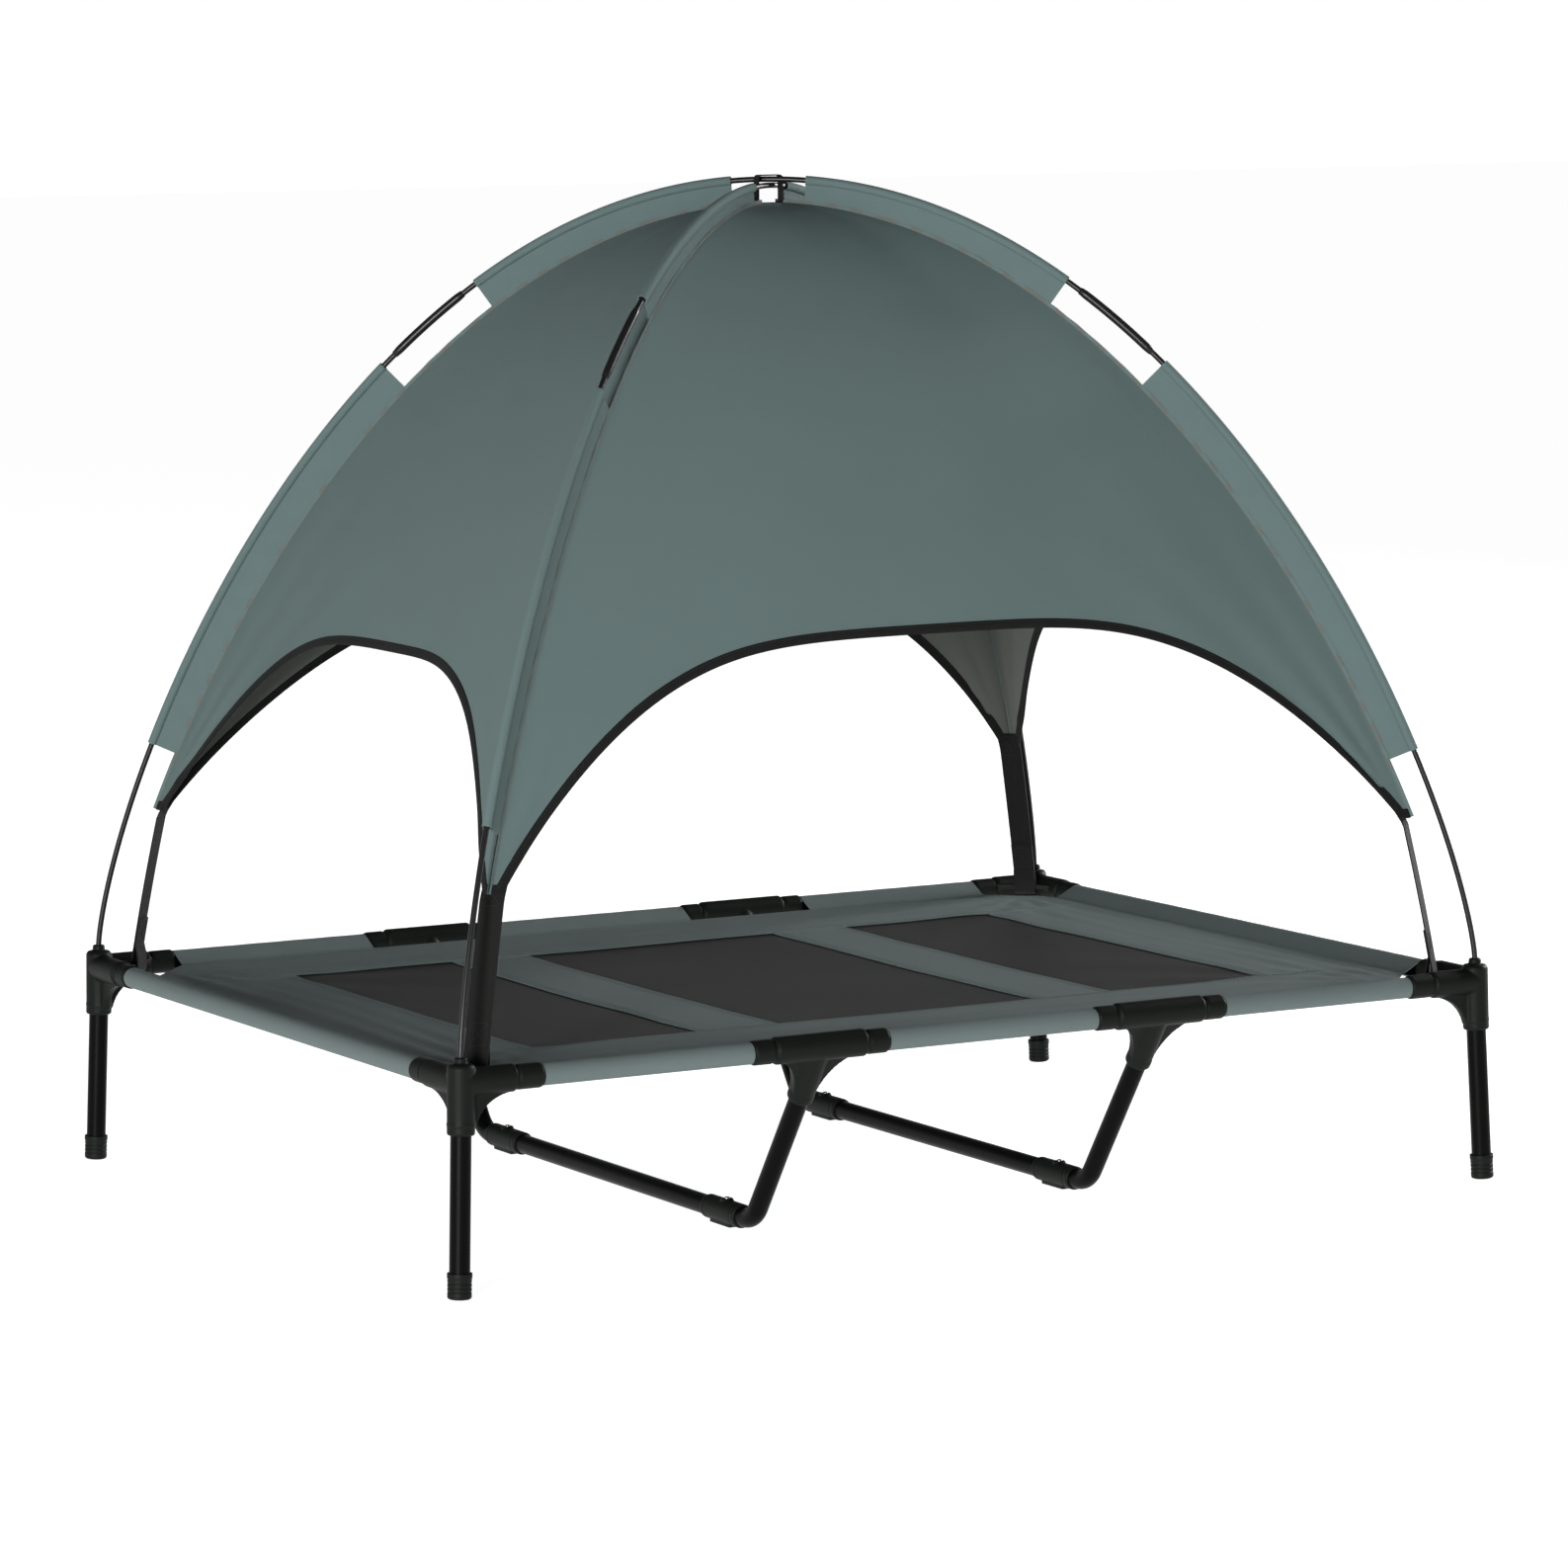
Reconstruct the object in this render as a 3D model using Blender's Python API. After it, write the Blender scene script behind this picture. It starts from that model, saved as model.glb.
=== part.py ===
"""Raised dog bed: a knock-down tube frame, a stretched fabric bed and a canopy on two crossed poles."""

import math

import bpy
import bmesh
import numpy as np

for old in list(bpy.data.objects):
    bpy.data.objects.remove(old, do_unlink=True)

MM = 0.001

# Frame layout: corner leg axes, rail height, and how far the feet stand out past the corners.
HALF_LENGTH = 596.25 * MM
HALF_WIDTH = 446.25 * MM
RAIL_HEIGHT = 211.5 * MM
FOOT_SPLAY_X = 8.1 * MM
FOOT_SPLAY_Y = 4.6 * MM

# Tubes.
TUBE_RADIUS = 9.5 * MM
TUBE_INSIDE = 8.5 * MM
BORE_RADIUS = 10.0 * MM
TUBE_SIDES = 12

# Corner connectors.
ARM_RADIUS = 14.0 * MM
NECK_RADIUS = 11.4 * MM
COLLAR_RADIUS = 12.6 * MM
ARM_X = (56.0 * MM, 76.0 * MM, 86.0 * MM)
ARM_Y = (66.0 * MM, 83.0 * MM, 93.0 * MM)
SOCKET_RADIUS = 13.8 * MM
SOCKET_BOTTOM = 160.0 * MM
LEG_TOP = 197.0 * MM
BOSS_TOP = 236.0 * MM
BOSS_RADIUS = 6.6 * MM
POLE_HOLE_RADIUS = 3.7 * MM
POLE_FOOT = 208.0 * MM
STRAP_WEB = (213.0 * MM, 218.0 * MM)
STRAP_WEB_REACH = 68.0 * MM
SLOT_CENTRE = 30.0 * MM

# Legs and foot caps.
CAP_HEIGHT = 26.0 * MM
CAP_RADIUS = 12.0 * MM
CAP_FLOOR = 3.5 * MM

# Centre brackets and the two floor supports.
BRACKET_X = 200.0 * MM
BRACKET_BODY = 51.0 * MM
BRACKET_NECK = 55.0 * MM
BRACKET_END = 77.0 * MM
STEM_RADIUS = 13.2 * MM
STEM_LENGTH = 70.0 * MM
STEM_LEAN = math.radians(35.0)
BAR_HEIGHT = 13.5 * MM
BEND_RADIUS = 35.0 * MM
SLEEVE_ENDS = (213.0 * MM, 285.0 * MM)
SLEEVE_RADIUS = 12.5 * MM
BUTTON_Y = 251.5 * MM
BUTTON_RADIUS = 2.9 * MM
BUTTON_HOLE_RADIUS = 3.5 * MM

# Bed fabric and mesh.
FABRIC_THICK = 1.2 * MM
HEM_RADIUS = 10.9 * MM
MESH_THICK = 0.8 * MM
MESH_LAP = 10.0 * MM
MESH_HALF_WIDTH = 285.0 * MM
MESH_EDGES = ((-436.0 * MM, -247.0 * MM), (-154.0 * MM, 154.0 * MM), (247.0 * MM, 436.0 * MM))

# Crossed poles and the canopy they carry.
POLE_RADIUS = 3.0 * MM
FERRULE_RADIUS = 4.5 * MM
FERRULE_BORE = 3.6 * MM
FERRULE_HALF = 50.0 * MM
POLE_TOP = (1060.5 * MM, 1054.0 * MM)
POLE_SPREAD_POWER = 2.04
POLE_RISE_POWER = 1.35
RIDGE_GAP_END = 24.0 * MM
RIDGE_GAP_EXTRA = 12.0 * MM
CANOPY_HEM_Z = 385.0 * MM
CANOPY_THICK = 0.9 * MM
CANOPY_SAG = 6.0 * MM
CANOPY_TOP_HOLE = 20.0 * MM
WINDOW_HALF = 67.0 * MM
POLE_SLEEVE_OUT = 4.8 * MM
POLE_SLEEVE_IN = 4.0 * MM
SEAM_HALF = 1.0 * MM
SEAM_HEIGHT = 3.6 * MM
FLAP_HALF = 0.8 * MM
SLEEVE_TOP_END = 40.0 * MM
ARCH = {"long": (0.752, 4.05, 0.93), "short": (0.774, 4.09, 1.19)}

# Corner straps and the tie at the top.
STRAP_WIDTH = 25.0 * MM
STRAP_THICK = 1.4 * MM
STRAP_TOP = 390.0 * MM
STRAP_LEAN = 32.6 * MM
STRAP_DRIFT = 10.6 * MM


def material(name, colour, roughness, metallic=0.0):
    made = bpy.data.materials.new(name)
    made.use_nodes = True
    shader = made.node_tree.nodes["Principled BSDF"]
    shader.inputs["Base Color"].default_value = (*colour, 1.0)
    shader.inputs["Roughness"].default_value = roughness
    shader.inputs["Metallic"].default_value = metallic
    made.diffuse_color = (*colour, 1.0)
    return made


STEEL = material("powder_coated_steel", (0.020, 0.021, 0.019), 0.42, 0.0)
PLASTIC = material("black_plastic", (0.028, 0.031, 0.028), 0.55)
FABRIC = material("grey_fabric", (0.115, 0.150, 0.150), 0.85)
MESH = material("black_mesh", (0.030, 0.031, 0.029), 0.80)
WEBBING = material("black_webbing", (0.016, 0.016, 0.015), 0.80)
FIBREGLASS = material("black_fibreglass", (0.018, 0.018, 0.018), 0.35)
BUTTON_STEEL = material("button_steel", (0.45, 0.45, 0.44), 0.35, 1.0)


def add(name, points, faces, mat, smooth=True):
    mesh = bpy.data.meshes.new(name)
    mesh.from_pydata([tuple(map(float, p)) for p in points], [], faces)
    shape = bmesh.new()
    shape.from_mesh(mesh)
    bmesh.ops.recalc_face_normals(shape, faces=shape.faces)
    if shape.calc_volume(signed=True) < 0:
        bmesh.ops.reverse_faces(shape, faces=shape.faces)
    shape.to_mesh(mesh)
    shape.free()
    made = bpy.data.objects.new(name, mesh)
    bpy.context.scene.collection.objects.link(made)
    mesh.materials.append(mat)
    for face in mesh.polygons:
        face.use_smooth = smooth
    if smooth:
        mesh.set_sharp_from_angle(angle=math.radians(35))
    return made


def combine(base, others, operation):
    """The base joined with, or cut by, each of the others, which are used up."""
    for other in others:
        modifier = base.modifiers.new("combine", "BOOLEAN")
        modifier.operation = operation
        modifier.solver = "EXACT"
        modifier.object = other
        bpy.context.view_layer.update()
        graph = bpy.context.evaluated_depsgraph_get()
        result = bpy.data.meshes.new_from_object(base.evaluated_get(graph))
        base.modifiers.clear()
        shape = bmesh.new()
        shape.from_mesh(result)
        bmesh.ops.remove_doubles(shape, verts=shape.verts, dist=0.002 * MM)
        bmesh.ops.dissolve_degenerate(shape, edges=shape.edges, dist=0.002 * MM)
        bmesh.ops.triangulate(shape, faces=[face for face in shape.faces if len(face.verts) > 4])
        shape.to_mesh(result)
        shape.free()
        old = base.data
        base.data = result
        bpy.data.meshes.remove(old)
        bpy.data.objects.remove(other, do_unlink=True)
    keep = base.data.materials[0]
    base.data.materials.clear()
    base.data.materials.append(keep)
    base.data.polygons.foreach_set("material_index", [0] * len(base.data.polygons))
    base.data.set_sharp_from_angle(angle=math.radians(35))
    return base


def join(base, *others):
    return combine(base, others, "UNION")


def cut(base, *others):
    return combine(base, others, "DIFFERENCE")


def placed(source, name, sx=1, sy=1, shift=(0, 0, 0)):
    """A copy of the source turned over in X or Y, then shifted, with its data in world place."""
    mesh = source.data.copy()
    moved = [(v.co.x * sx + shift[0], v.co.y * sy + shift[1], v.co.z + shift[2]) for v in mesh.vertices]
    mesh.vertices.foreach_set("co", np.array(moved, np.float32).reshape(-1))
    if sx * sy < 0:
        mesh.flip_normals()
    mesh.update()
    made = bpy.data.objects.new(name, mesh)
    bpy.context.scene.collection.objects.link(made)
    return made


def four_corners(source, name):
    """Copies at the four corners, and the source used up."""
    for tag, sx, sy in (("fl", -1, -1), ("fr", 1, -1), ("bl", -1, 1), ("br", 1, 1)):
        placed(source, f"{name}_{tag}", -sx, -sy, (sx * HALF_LENGTH, sy * HALF_WIDTH, 0))
    bpy.data.objects.remove(source, do_unlink=True)


def unit(v):
    v = np.asarray(v, float)
    return v / np.linalg.norm(v)


class Path:
    """A flat curve through points, with the normal of the plane that it lies in."""

    def __init__(self, points, normal, upright=False):
        self.points = np.asarray(points, float)
        self.normal = unit(normal)
        self.steps = np.linalg.norm(np.diff(self.points, axis=0), axis=1)
        self.travel = np.concatenate([[0.0], np.cumsum(self.steps)])
        self.length = self.travel[-1]
        self.upright = upright
        slopes = np.gradient(self.points, self.travel, axis=0)
        self.tangents = slopes / np.linalg.norm(slopes, axis=1)[:, None]

    def at(self, s):
        """Centre, the direction across the plane, and the direction out of the curve."""
        centre = np.array([np.interp(s, self.travel, self.points[:, i]) for i in range(3)])
        if self.upright:
            return centre, np.array([1.0, 0.0, 0.0]), np.array([0.0, 1.0, 0.0])
        tangent = unit([np.interp(s, self.travel, self.tangents[:, i]) for i in range(3)])
        return centre, self.normal, np.cross(tangent, self.normal)


def straight(a, b, upright=False):
    a, b = np.asarray(a, float), np.asarray(b, float)
    along = unit(b - a)
    helper = np.array([0.0, 0.0, 1.0]) if abs(along[2]) < 0.9 else np.array([1.0, 0.0, 0.0])
    return Path([a, b], np.cross(along, helper), upright)


def turned(name, path, stations, mat, sides=TUBE_SIDES, ring=False):
    """Circles of the given radii at distances along a path; ring closes the last circle to the first."""
    points = []
    loops = []
    for s, radius in stations:
        centre, across, out = path.at(s)
        if radius == 0:
            loops.append([len(points)])
            points.append(centre)
            continue
        loops.append(list(range(len(points), len(points) + sides)))
        for k in range(sides):
            turn = 2 * math.pi * (k + 0.5) / sides
            points.append(centre + radius * (math.cos(turn) * across + math.sin(turn) * out))
    pairs = list(zip(loops, loops[1:])) + ([(loops[-1], loops[0])] if ring else [])
    faces = []
    for low, high in pairs:
        for k in range(sides):
            n = (k + 1) % sides
            if len(low) == 1:
                faces.append((low[0], high[n], high[k]))
            elif len(high) == 1:
                faces.append((low[k], low[n], high[0]))
            else:
                faces.append((low[k], low[n], high[n], high[k]))
    return add(name, points, faces, mat)


def rod(name, a, b, radius, mat, sides=TUBE_SIDES, upright=False):
    path = straight(a, b, upright)
    return turned(name, path, [(0, 0), (0, radius), (path.length, radius), (path.length, 0)], mat, sides)


def tube(name, path, mat, stops=None):
    """A hollow tube, open at both ends, with circles at the given distances."""
    stops = stops or [0, path.length]
    outside = [(s, TUBE_RADIUS) for s in stops]
    inside = [(s, TUBE_INSIDE) for s in reversed(stops)]
    return turned(name, path, outside + inside, mat, ring=True)


def prism(name, outline, origin, x_axis, y_axis, low, high, mat):
    """A flat outline given in two axes, thick along the third from low to high."""
    origin, x_axis, y_axis = (np.asarray(v, float) for v in (origin, x_axis, y_axis))
    z_axis = np.cross(x_axis, y_axis)
    count = len(outline)
    points = [origin + x * x_axis + y * y_axis + z * z_axis for z in (low, high) for x, y in outline]
    faces = [tuple(range(count)), tuple(range(count, 2 * count))]
    faces += [(k, (k + 1) % count, count + (k + 1) % count, count + k) for k in range(count)]
    return add(name, points, faces, mat, smooth=False)


def box(name, low, high, mat):
    corners = ((low[0], low[1]), (high[0], low[1]), (high[0], high[1]), (low[0], high[1]))
    return prism(name, corners, (0, 0, 0), (1, 0, 0), (0, 1, 0), low[2], high[2], mat)


X, Y, Z = (1, 0, 0), (0, 1, 0), (0, 0, 1)


def lean(z):
    """How far a leg's centre stands out past its corner at a height, in X and Y."""
    share = max(0.0, 1 - z / LEG_TOP)
    return -FOOT_SPLAY_X * share, -FOOT_SPLAY_Y * share


def arm_stations(ends):
    body, neck, tip = ends
    soft = 1.2 * MM
    return [
        (0, 0), (0, ARM_RADIUS), (body, ARM_RADIUS), (body, NECK_RADIUS), (neck, NECK_RADIUS),
        (neck, COLLAR_RADIUS), (tip - soft, COLLAR_RADIUS), (tip, COLLAR_RADIUS - soft), (tip, 0),
    ]


def corner_connector():
    """One moulding at the origin, with its arms along +X and +Y and its leg socket below."""
    height = RAIL_HEIGHT
    x_arm = turned("x_arm", straight((0, 0, height), (ARM_X[2], 0, height)), arm_stations(ARM_X), PLASTIC)
    y_arm = turned("y_arm", straight((0, 0, height), (0, ARM_Y[2], height)), arm_stations(ARM_Y), PLASTIC)
    base = (*lean(SOCKET_BOTTOM), SOCKET_BOTTOM)
    post = Path([base, (0, 0, LEG_TOP), (0, 0, BOSS_TOP)], Y, upright=True)
    top = post.length
    soft = 1.5 * MM
    socket = turned("socket", post, [
        (0, 0), (0, SOCKET_RADIUS - soft), (soft, SOCKET_RADIUS), (top - 8.3 * MM, SOCKET_RADIUS),
        (top - 6.3 * MM, SOCKET_RADIUS - 2.0 * MM), (top - 6.3 * MM, BOSS_RADIUS),
        (top - 1.0 * MM, BOSS_RADIUS), (top, BOSS_RADIUS - 1.0 * MM), (top, 0),
    ], PLASTIC)
    web = ((0, 202 * MM), (50 * MM, 202 * MM), (36 * MM, 190 * MM), (22 * MM, 176 * MM),
           (15 * MM, 163 * MM), (0, 163 * MM))
    x_web = prism("x_web", web, (0, 0, 0), X, Z, -3 * MM, 3 * MM, PLASTIC)
    y_web = prism("y_web", [(a * 1.15, b) for a, b in web], (0, 0, 0), Y, Z, -3 * MM, 3 * MM, PLASTIC)
    reach = STRAP_WEB_REACH
    plate = ((5 * MM, 5 * MM), (reach - 8 * MM, 5 * MM), (reach - 8 * MM, 8 * MM),
             (8 * MM, reach - 8 * MM), (5 * MM, reach - 8 * MM))
    strap_web = prism("strap_web", plate, (0, 0, 0), X, Y, *STRAP_WEB, PLASTIC)
    body = join(socket, x_arm, y_arm, x_web, y_web, strap_web)
    x_bore = rod("x_bore", (17 * MM, 0, height), (100 * MM, 0, height), BORE_RADIUS, PLASTIC)
    y_bore = rod("y_bore", (0, 17 * MM, height), (0, 110 * MM, height), BORE_RADIUS, PLASTIC)
    below = 150 * MM
    leg_foot, leg_head = (*lean(below), below), (0, 0, LEG_TOP + 0.6 * MM)
    leg_bore = rod("leg_bore", leg_foot, leg_head, BORE_RADIUS, PLASTIC, upright=True)
    pole_foot, pole_head = (0, 0, POLE_FOOT - 1.5 * MM), (0, 0, BOSS_TOP + 9 * MM)
    hole = rod("hole", pole_foot, pole_head, POLE_HOLE_RADIUS, PLASTIC, 12)
    half = 13.4 * MM / math.sqrt(2)
    thick = 2.0 * MM / math.sqrt(2)
    centre = SLOT_CENTRE
    slot = prism("slot", (
        (centre + half - thick, centre - half - thick), (centre + half + thick, centre - half + thick),
        (centre - half + thick, centre + half + thick), (centre - half - thick, centre + half - thick),
    ), (0, 0, 0), X, Y, 200 * MM, 230 * MM, PLASTIC)
    return cut(body, x_bore, y_bore, leg_bore, hole, slot)


def leg():
    low = CAP_FLOOR + 0.5 * MM
    return tube("leg", Path([(*lean(low), low), (0, 0, LEG_TOP)], Y, upright=True), STEEL)


def foot_cap():
    path = Path([(*lean(0), 0), (*lean(CAP_HEIGHT), CAP_HEIGHT)], Y, upright=True)
    end = path.length
    soft = 1.5 * MM
    return turned("cap", path, [
        (0, 0), (0, CAP_RADIUS - soft), (soft, CAP_RADIUS),
        (end - soft, CAP_RADIUS), (end, CAP_RADIUS - 0.6 * MM),
        (end, BORE_RADIUS), (CAP_FLOOR, BORE_RADIUS), (CAP_FLOOR, 0),
    ], PLASTIC)


def centre_bracket():
    """The rail bracket at the origin's X and Y, its arms along X and its stem leaning towards +Y."""
    height = RAIL_HEIGHT
    soft = 1.2 * MM
    ends = [(0, 0), (0, COLLAR_RADIUS - soft), (soft, COLLAR_RADIUS)]
    ends += [(BRACKET_END - BRACKET_NECK, COLLAR_RADIUS), (BRACKET_END - BRACKET_NECK, NECK_RADIUS)]
    ends += [(BRACKET_END - BRACKET_BODY, NECK_RADIUS), (BRACKET_END - BRACKET_BODY, ARM_RADIUS)]
    whole = 2 * BRACKET_END
    ends += [(whole - s, radius) for s, radius in reversed(ends)]
    arms = turned("arms", straight((-BRACKET_END, 0, height), (BRACKET_END, 0, height)), ends, PLASTIC)
    down = np.array([0, math.sin(STEM_LEAN), -math.cos(STEM_LEAN)])
    start = np.array([0, 0, height])
    stem_end = start + STEM_LENGTH * down
    stem = turned("stem", straight(start, stem_end), [
        (0, 0), (0, STEM_RADIUS), (STEM_LENGTH - soft, STEM_RADIUS), (STEM_LENGTH, STEM_RADIUS - soft),
        (STEM_LENGTH, 0)], PLASTIC)
    flare = (
        (-47 * MM, 6 * MM), (47 * MM, 6 * MM), (33 * MM, 19 * MM), (20 * MM, 34 * MM),
        (14 * MM, 52 * MM), (8 * MM, 60 * MM), (-8 * MM, 60 * MM), (-14 * MM, 52 * MM),
        (-20 * MM, 34 * MM), (-33 * MM, 19 * MM),
    )
    web = prism("web", flare, start, X, down, -5 * MM, 5 * MM, PLASTIC)
    body = join(arms, stem, web)
    bores = []
    for side in (-1, 1):
        ends = (side * 1.5 * MM, 0, height), (side * 90 * MM, 0, height)
        bores.append(rod(f"bore{side}", *ends, BORE_RADIUS, PLASTIC))
    socket = rod("socket", start + 22 * MM * down, start + 90 * MM * down, BORE_RADIUS, PLASTIC)
    return cut(body, *bores, socket)


def support_path():
    """From inside a front bracket's stem, down and inwards, round the bend and along the floor."""
    down = np.array([math.sin(STEM_LEAN), -math.cos(STEM_LEAN)])
    start = np.array([-HALF_WIDTH, RAIL_HEIGHT])
    meet = start + down * (RAIL_HEIGHT - BAR_HEIGHT) / math.cos(STEM_LEAN)
    turn = math.pi / 2 - STEM_LEAN
    reach = BEND_RADIUS * math.tan(turn / 2)
    enter = meet - down * reach
    centre = np.array([meet[0] + reach, BAR_HEIGHT + BEND_RADIUS])
    flat = [start + 24 * MM * down, enter - 0.01 * MM * down]
    first = math.atan2(enter[1] - centre[1], enter[0] - centre[0])
    for k in range(7):
        angle = first + (-math.pi / 2 - first) * k / 6
        flat.append(centre + BEND_RADIUS * np.array([math.cos(angle), math.sin(angle)]))
    flat.append(np.array([-BUTTON_Y + 9.5 * MM, BAR_HEIGHT]))
    return Path([(0, y, z) for y, z in flat], X)


def support_leg():
    path = support_path()
    body = tube("support", path, STEEL, list(path.travel[[0, 1, 3, 5, 7]]) + [path.length])
    hole = rod("hole", (0, -BUTTON_Y, BAR_HEIGHT), (0, -BUTTON_Y, BAR_HEIGHT + 20 * MM), BUTTON_HOLE_RADIUS,
               STEEL, 12)
    return cut(body, hole)


def floor_sleeve():
    near, far = SLEEVE_ENDS
    soft = 1.2 * MM
    path = straight((0, -far, BAR_HEIGHT), (0, -near, BAR_HEIGHT))
    end = path.length
    body = turned("sleeve", path, [
        (0, 0), (0, SLEEVE_RADIUS - soft), (soft, SLEEVE_RADIUS), (end - soft, SLEEVE_RADIUS),
        (end, SLEEVE_RADIUS - soft), (end, 0)], PLASTIC)
    pad = box("pad", (-8 * MM, -270 * MM, 0), (8 * MM, -228 * MM, 4 * MM), PLASTIC)
    boss = rod("boss", (0, -BUTTON_Y, BAR_HEIGHT + 5 * MM), (0, -BUTTON_Y, BAR_HEIGHT + 14 * MM), 6.5 * MM,
               PLASTIC)
    body = join(body, pad, boss)
    ends = (0, -far - 9 * MM, BAR_HEIGHT), (0, -near + 9 * MM, BAR_HEIGHT)
    bore = rod("bore", *ends, BORE_RADIUS, PLASTIC)
    hole = rod("hole", (0, -BUTTON_Y, BAR_HEIGHT), (0, -BUTTON_Y, BAR_HEIGHT + 30 * MM), BUTTON_HOLE_RADIUS,
               PLASTIC, 12)
    return cut(body, bore, hole)


def snap_button(name, x, y):
    """A round button, its origin on the line that it is pressed along."""
    path = straight((0, 0, 4.5 * MM), (0, 0, 15.4 * MM))
    top = path.length
    made = turned(name, path, [
        (0, 0), (0, 4.4 * MM), (1.4 * MM, 4.4 * MM), (1.4 * MM, BUTTON_RADIUS),
        (top - 1.2 * MM, BUTTON_RADIUS), (top, BUTTON_RADIUS - 1.3 * MM), (top, 0)], BUTTON_STEEL, 12)
    made.location = (x, y, BAR_HEIGHT)
    return made


def rails():
    stop = 18.0 * MM
    middle = 2.6 * MM
    spans = (
        ("left", -HALF_LENGTH + stop, -BRACKET_X - middle),
        ("middle", -BRACKET_X + middle, BRACKET_X - middle),
        ("right", BRACKET_X + middle, HALF_LENGTH - stop),
    )
    for side, y in (("front", -HALF_WIDTH), ("back", HALF_WIDTH)):
        for name, low, high in spans:
            tube(f"rail_{side}_{name}", straight((low, y, RAIL_HEIGHT), (high, y, RAIL_HEIGHT)), STEEL)
    for side, x in (("left", -HALF_LENGTH), ("right", HALF_LENGTH)):
        ends = (x, -HALF_WIDTH + stop, RAIL_HEIGHT), (x, HALF_WIDTH - stop, RAIL_HEIGHT)
        tube(f"rail_{side}_end", straight(*ends), STEEL)


def bed_fabric():
    """The stretched sheet with a tubular hem on each side, open at the corners and at the brackets."""
    low, high = RAIL_HEIGHT - FABRIC_THICK / 2, RAIL_HEIGHT + FABRIC_THICK / 2
    edge = (HEM_RADIUS + BORE_RADIUS) * 0.98 / 2
    inset = 0.4 * MM
    x_end, y_end = ARM_X[2] + 0.7 * MM, ARM_Y[2] + 0.7 * MM
    bracket = BRACKET_END + 0.7 * MM
    notch, slope = 16 * MM, 23 * MM
    corner_x, corner_y = HALF_LENGTH - x_end - inset, HALF_WIDTH - y_end - inset
    right, left = BRACKET_X + bracket + inset, BRACKET_X - bracket - inset
    quarter = [(HALF_LENGTH - edge, corner_y), (HALF_LENGTH - notch, corner_y)]
    quarter += [(corner_x, HALF_WIDTH - notch), (corner_x, HALF_WIDTH - edge)]
    quarter += [(right, HALF_WIDTH - edge), (right, HALF_WIDTH - notch)]
    quarter += [(BRACKET_X + 60 * MM, HALF_WIDTH - slope), (BRACKET_X - 60 * MM, HALF_WIDTH - slope)]
    quarter += [(left, HALF_WIDTH - notch), (left, HALF_WIDTH - edge)]
    outline = quarter + [(-x, y) for x, y in reversed(quarter)]
    outline += [(-x, -y) for x, y in quarter] + [(x, -y) for x, y in reversed(quarter)]
    sheet = prism("bed_fabric", outline, (0, 0, 0), X, Y, low, high, FABRIC)
    hems = []
    long_spans = (
        (-HALF_LENGTH + x_end, -BRACKET_X - bracket),
        (-BRACKET_X + bracket, BRACKET_X - bracket),
        (BRACKET_X + bracket, HALF_LENGTH - x_end),
    )
    lines = [((a, side * HALF_WIDTH), (b, side * HALF_WIDTH)) for side in (-1, 1) for a, b in long_spans]
    reach = HALF_WIDTH - y_end
    lines += [((side * HALF_LENGTH, -reach), (side * HALF_LENGTH, reach)) for side in (-1, 1)]
    for begin, end in lines:
        path = straight((*begin, RAIL_HEIGHT), (*end, RAIL_HEIGHT))
        far = path.length
        walls = [(0, HEM_RADIUS), (far, HEM_RADIUS), (far, BORE_RADIUS), (0, BORE_RADIUS)]
        hems.append(turned("hem", path, walls, FABRIC, ring=True))
    openings = [box("opening", (x0, -MESH_HALF_WIDTH, 0.19), (x1, MESH_HALF_WIDTH, 0.23), FABRIC)
                for x0, x1 in MESH_EDGES]
    return join(cut(sheet, *openings), *hems)


def mesh_panels():
    top = RAIL_HEIGHT - FABRIC_THICK / 2 - 0.3 * MM
    for tag, (x0, x1) in zip(("left", "middle", "right"), MESH_EDGES):
        low = (x0 - MESH_LAP, -MESH_HALF_WIDTH - MESH_LAP, top - MESH_THICK)
        high = (x1 + MESH_LAP, MESH_HALF_WIDTH + MESH_LAP, top)
        box(f"mesh_panel_{tag}", low, high, MESH)


HALF_DIAGONAL = math.hypot(HALF_LENGTH, HALF_WIDTH)
DIAGONAL = {
    "a": np.array([HALF_LENGTH, -HALF_WIDTH, 0]) / HALF_DIAGONAL,
    "b": np.array([HALF_LENGTH, HALF_WIDTH, 0]) / HALF_DIAGONAL,
}


def arch_curve(top, count=400):
    """Distances from the bed's middle and heights of a pole, from its foot to the crossing."""
    angle = np.linspace(0, math.pi / 2, count + 1)
    out = HALF_DIAGONAL * np.cos(angle).clip(0) ** (2 / POLE_SPREAD_POWER)
    up = BOSS_TOP + (top - BOSS_TOP) * np.sin(angle) ** (2 / POLE_RISE_POWER)
    return out, up


def pole_path(which):
    out, up = arch_curve(POLE_TOP[which == "b"])
    half = [(-r, z) for r, z in zip(out, up)]
    flat = [(-HALF_DIAGONAL, POLE_FOOT)] + half + [(-r, z) for r, z in reversed(half[:-1])]
    flat.append((HALF_DIAGONAL, POLE_FOOT))
    along = DIAGONAL[which]
    return Path([r * along + np.array([0, 0, z]) for r, z in flat], np.cross(Z, along))


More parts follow.
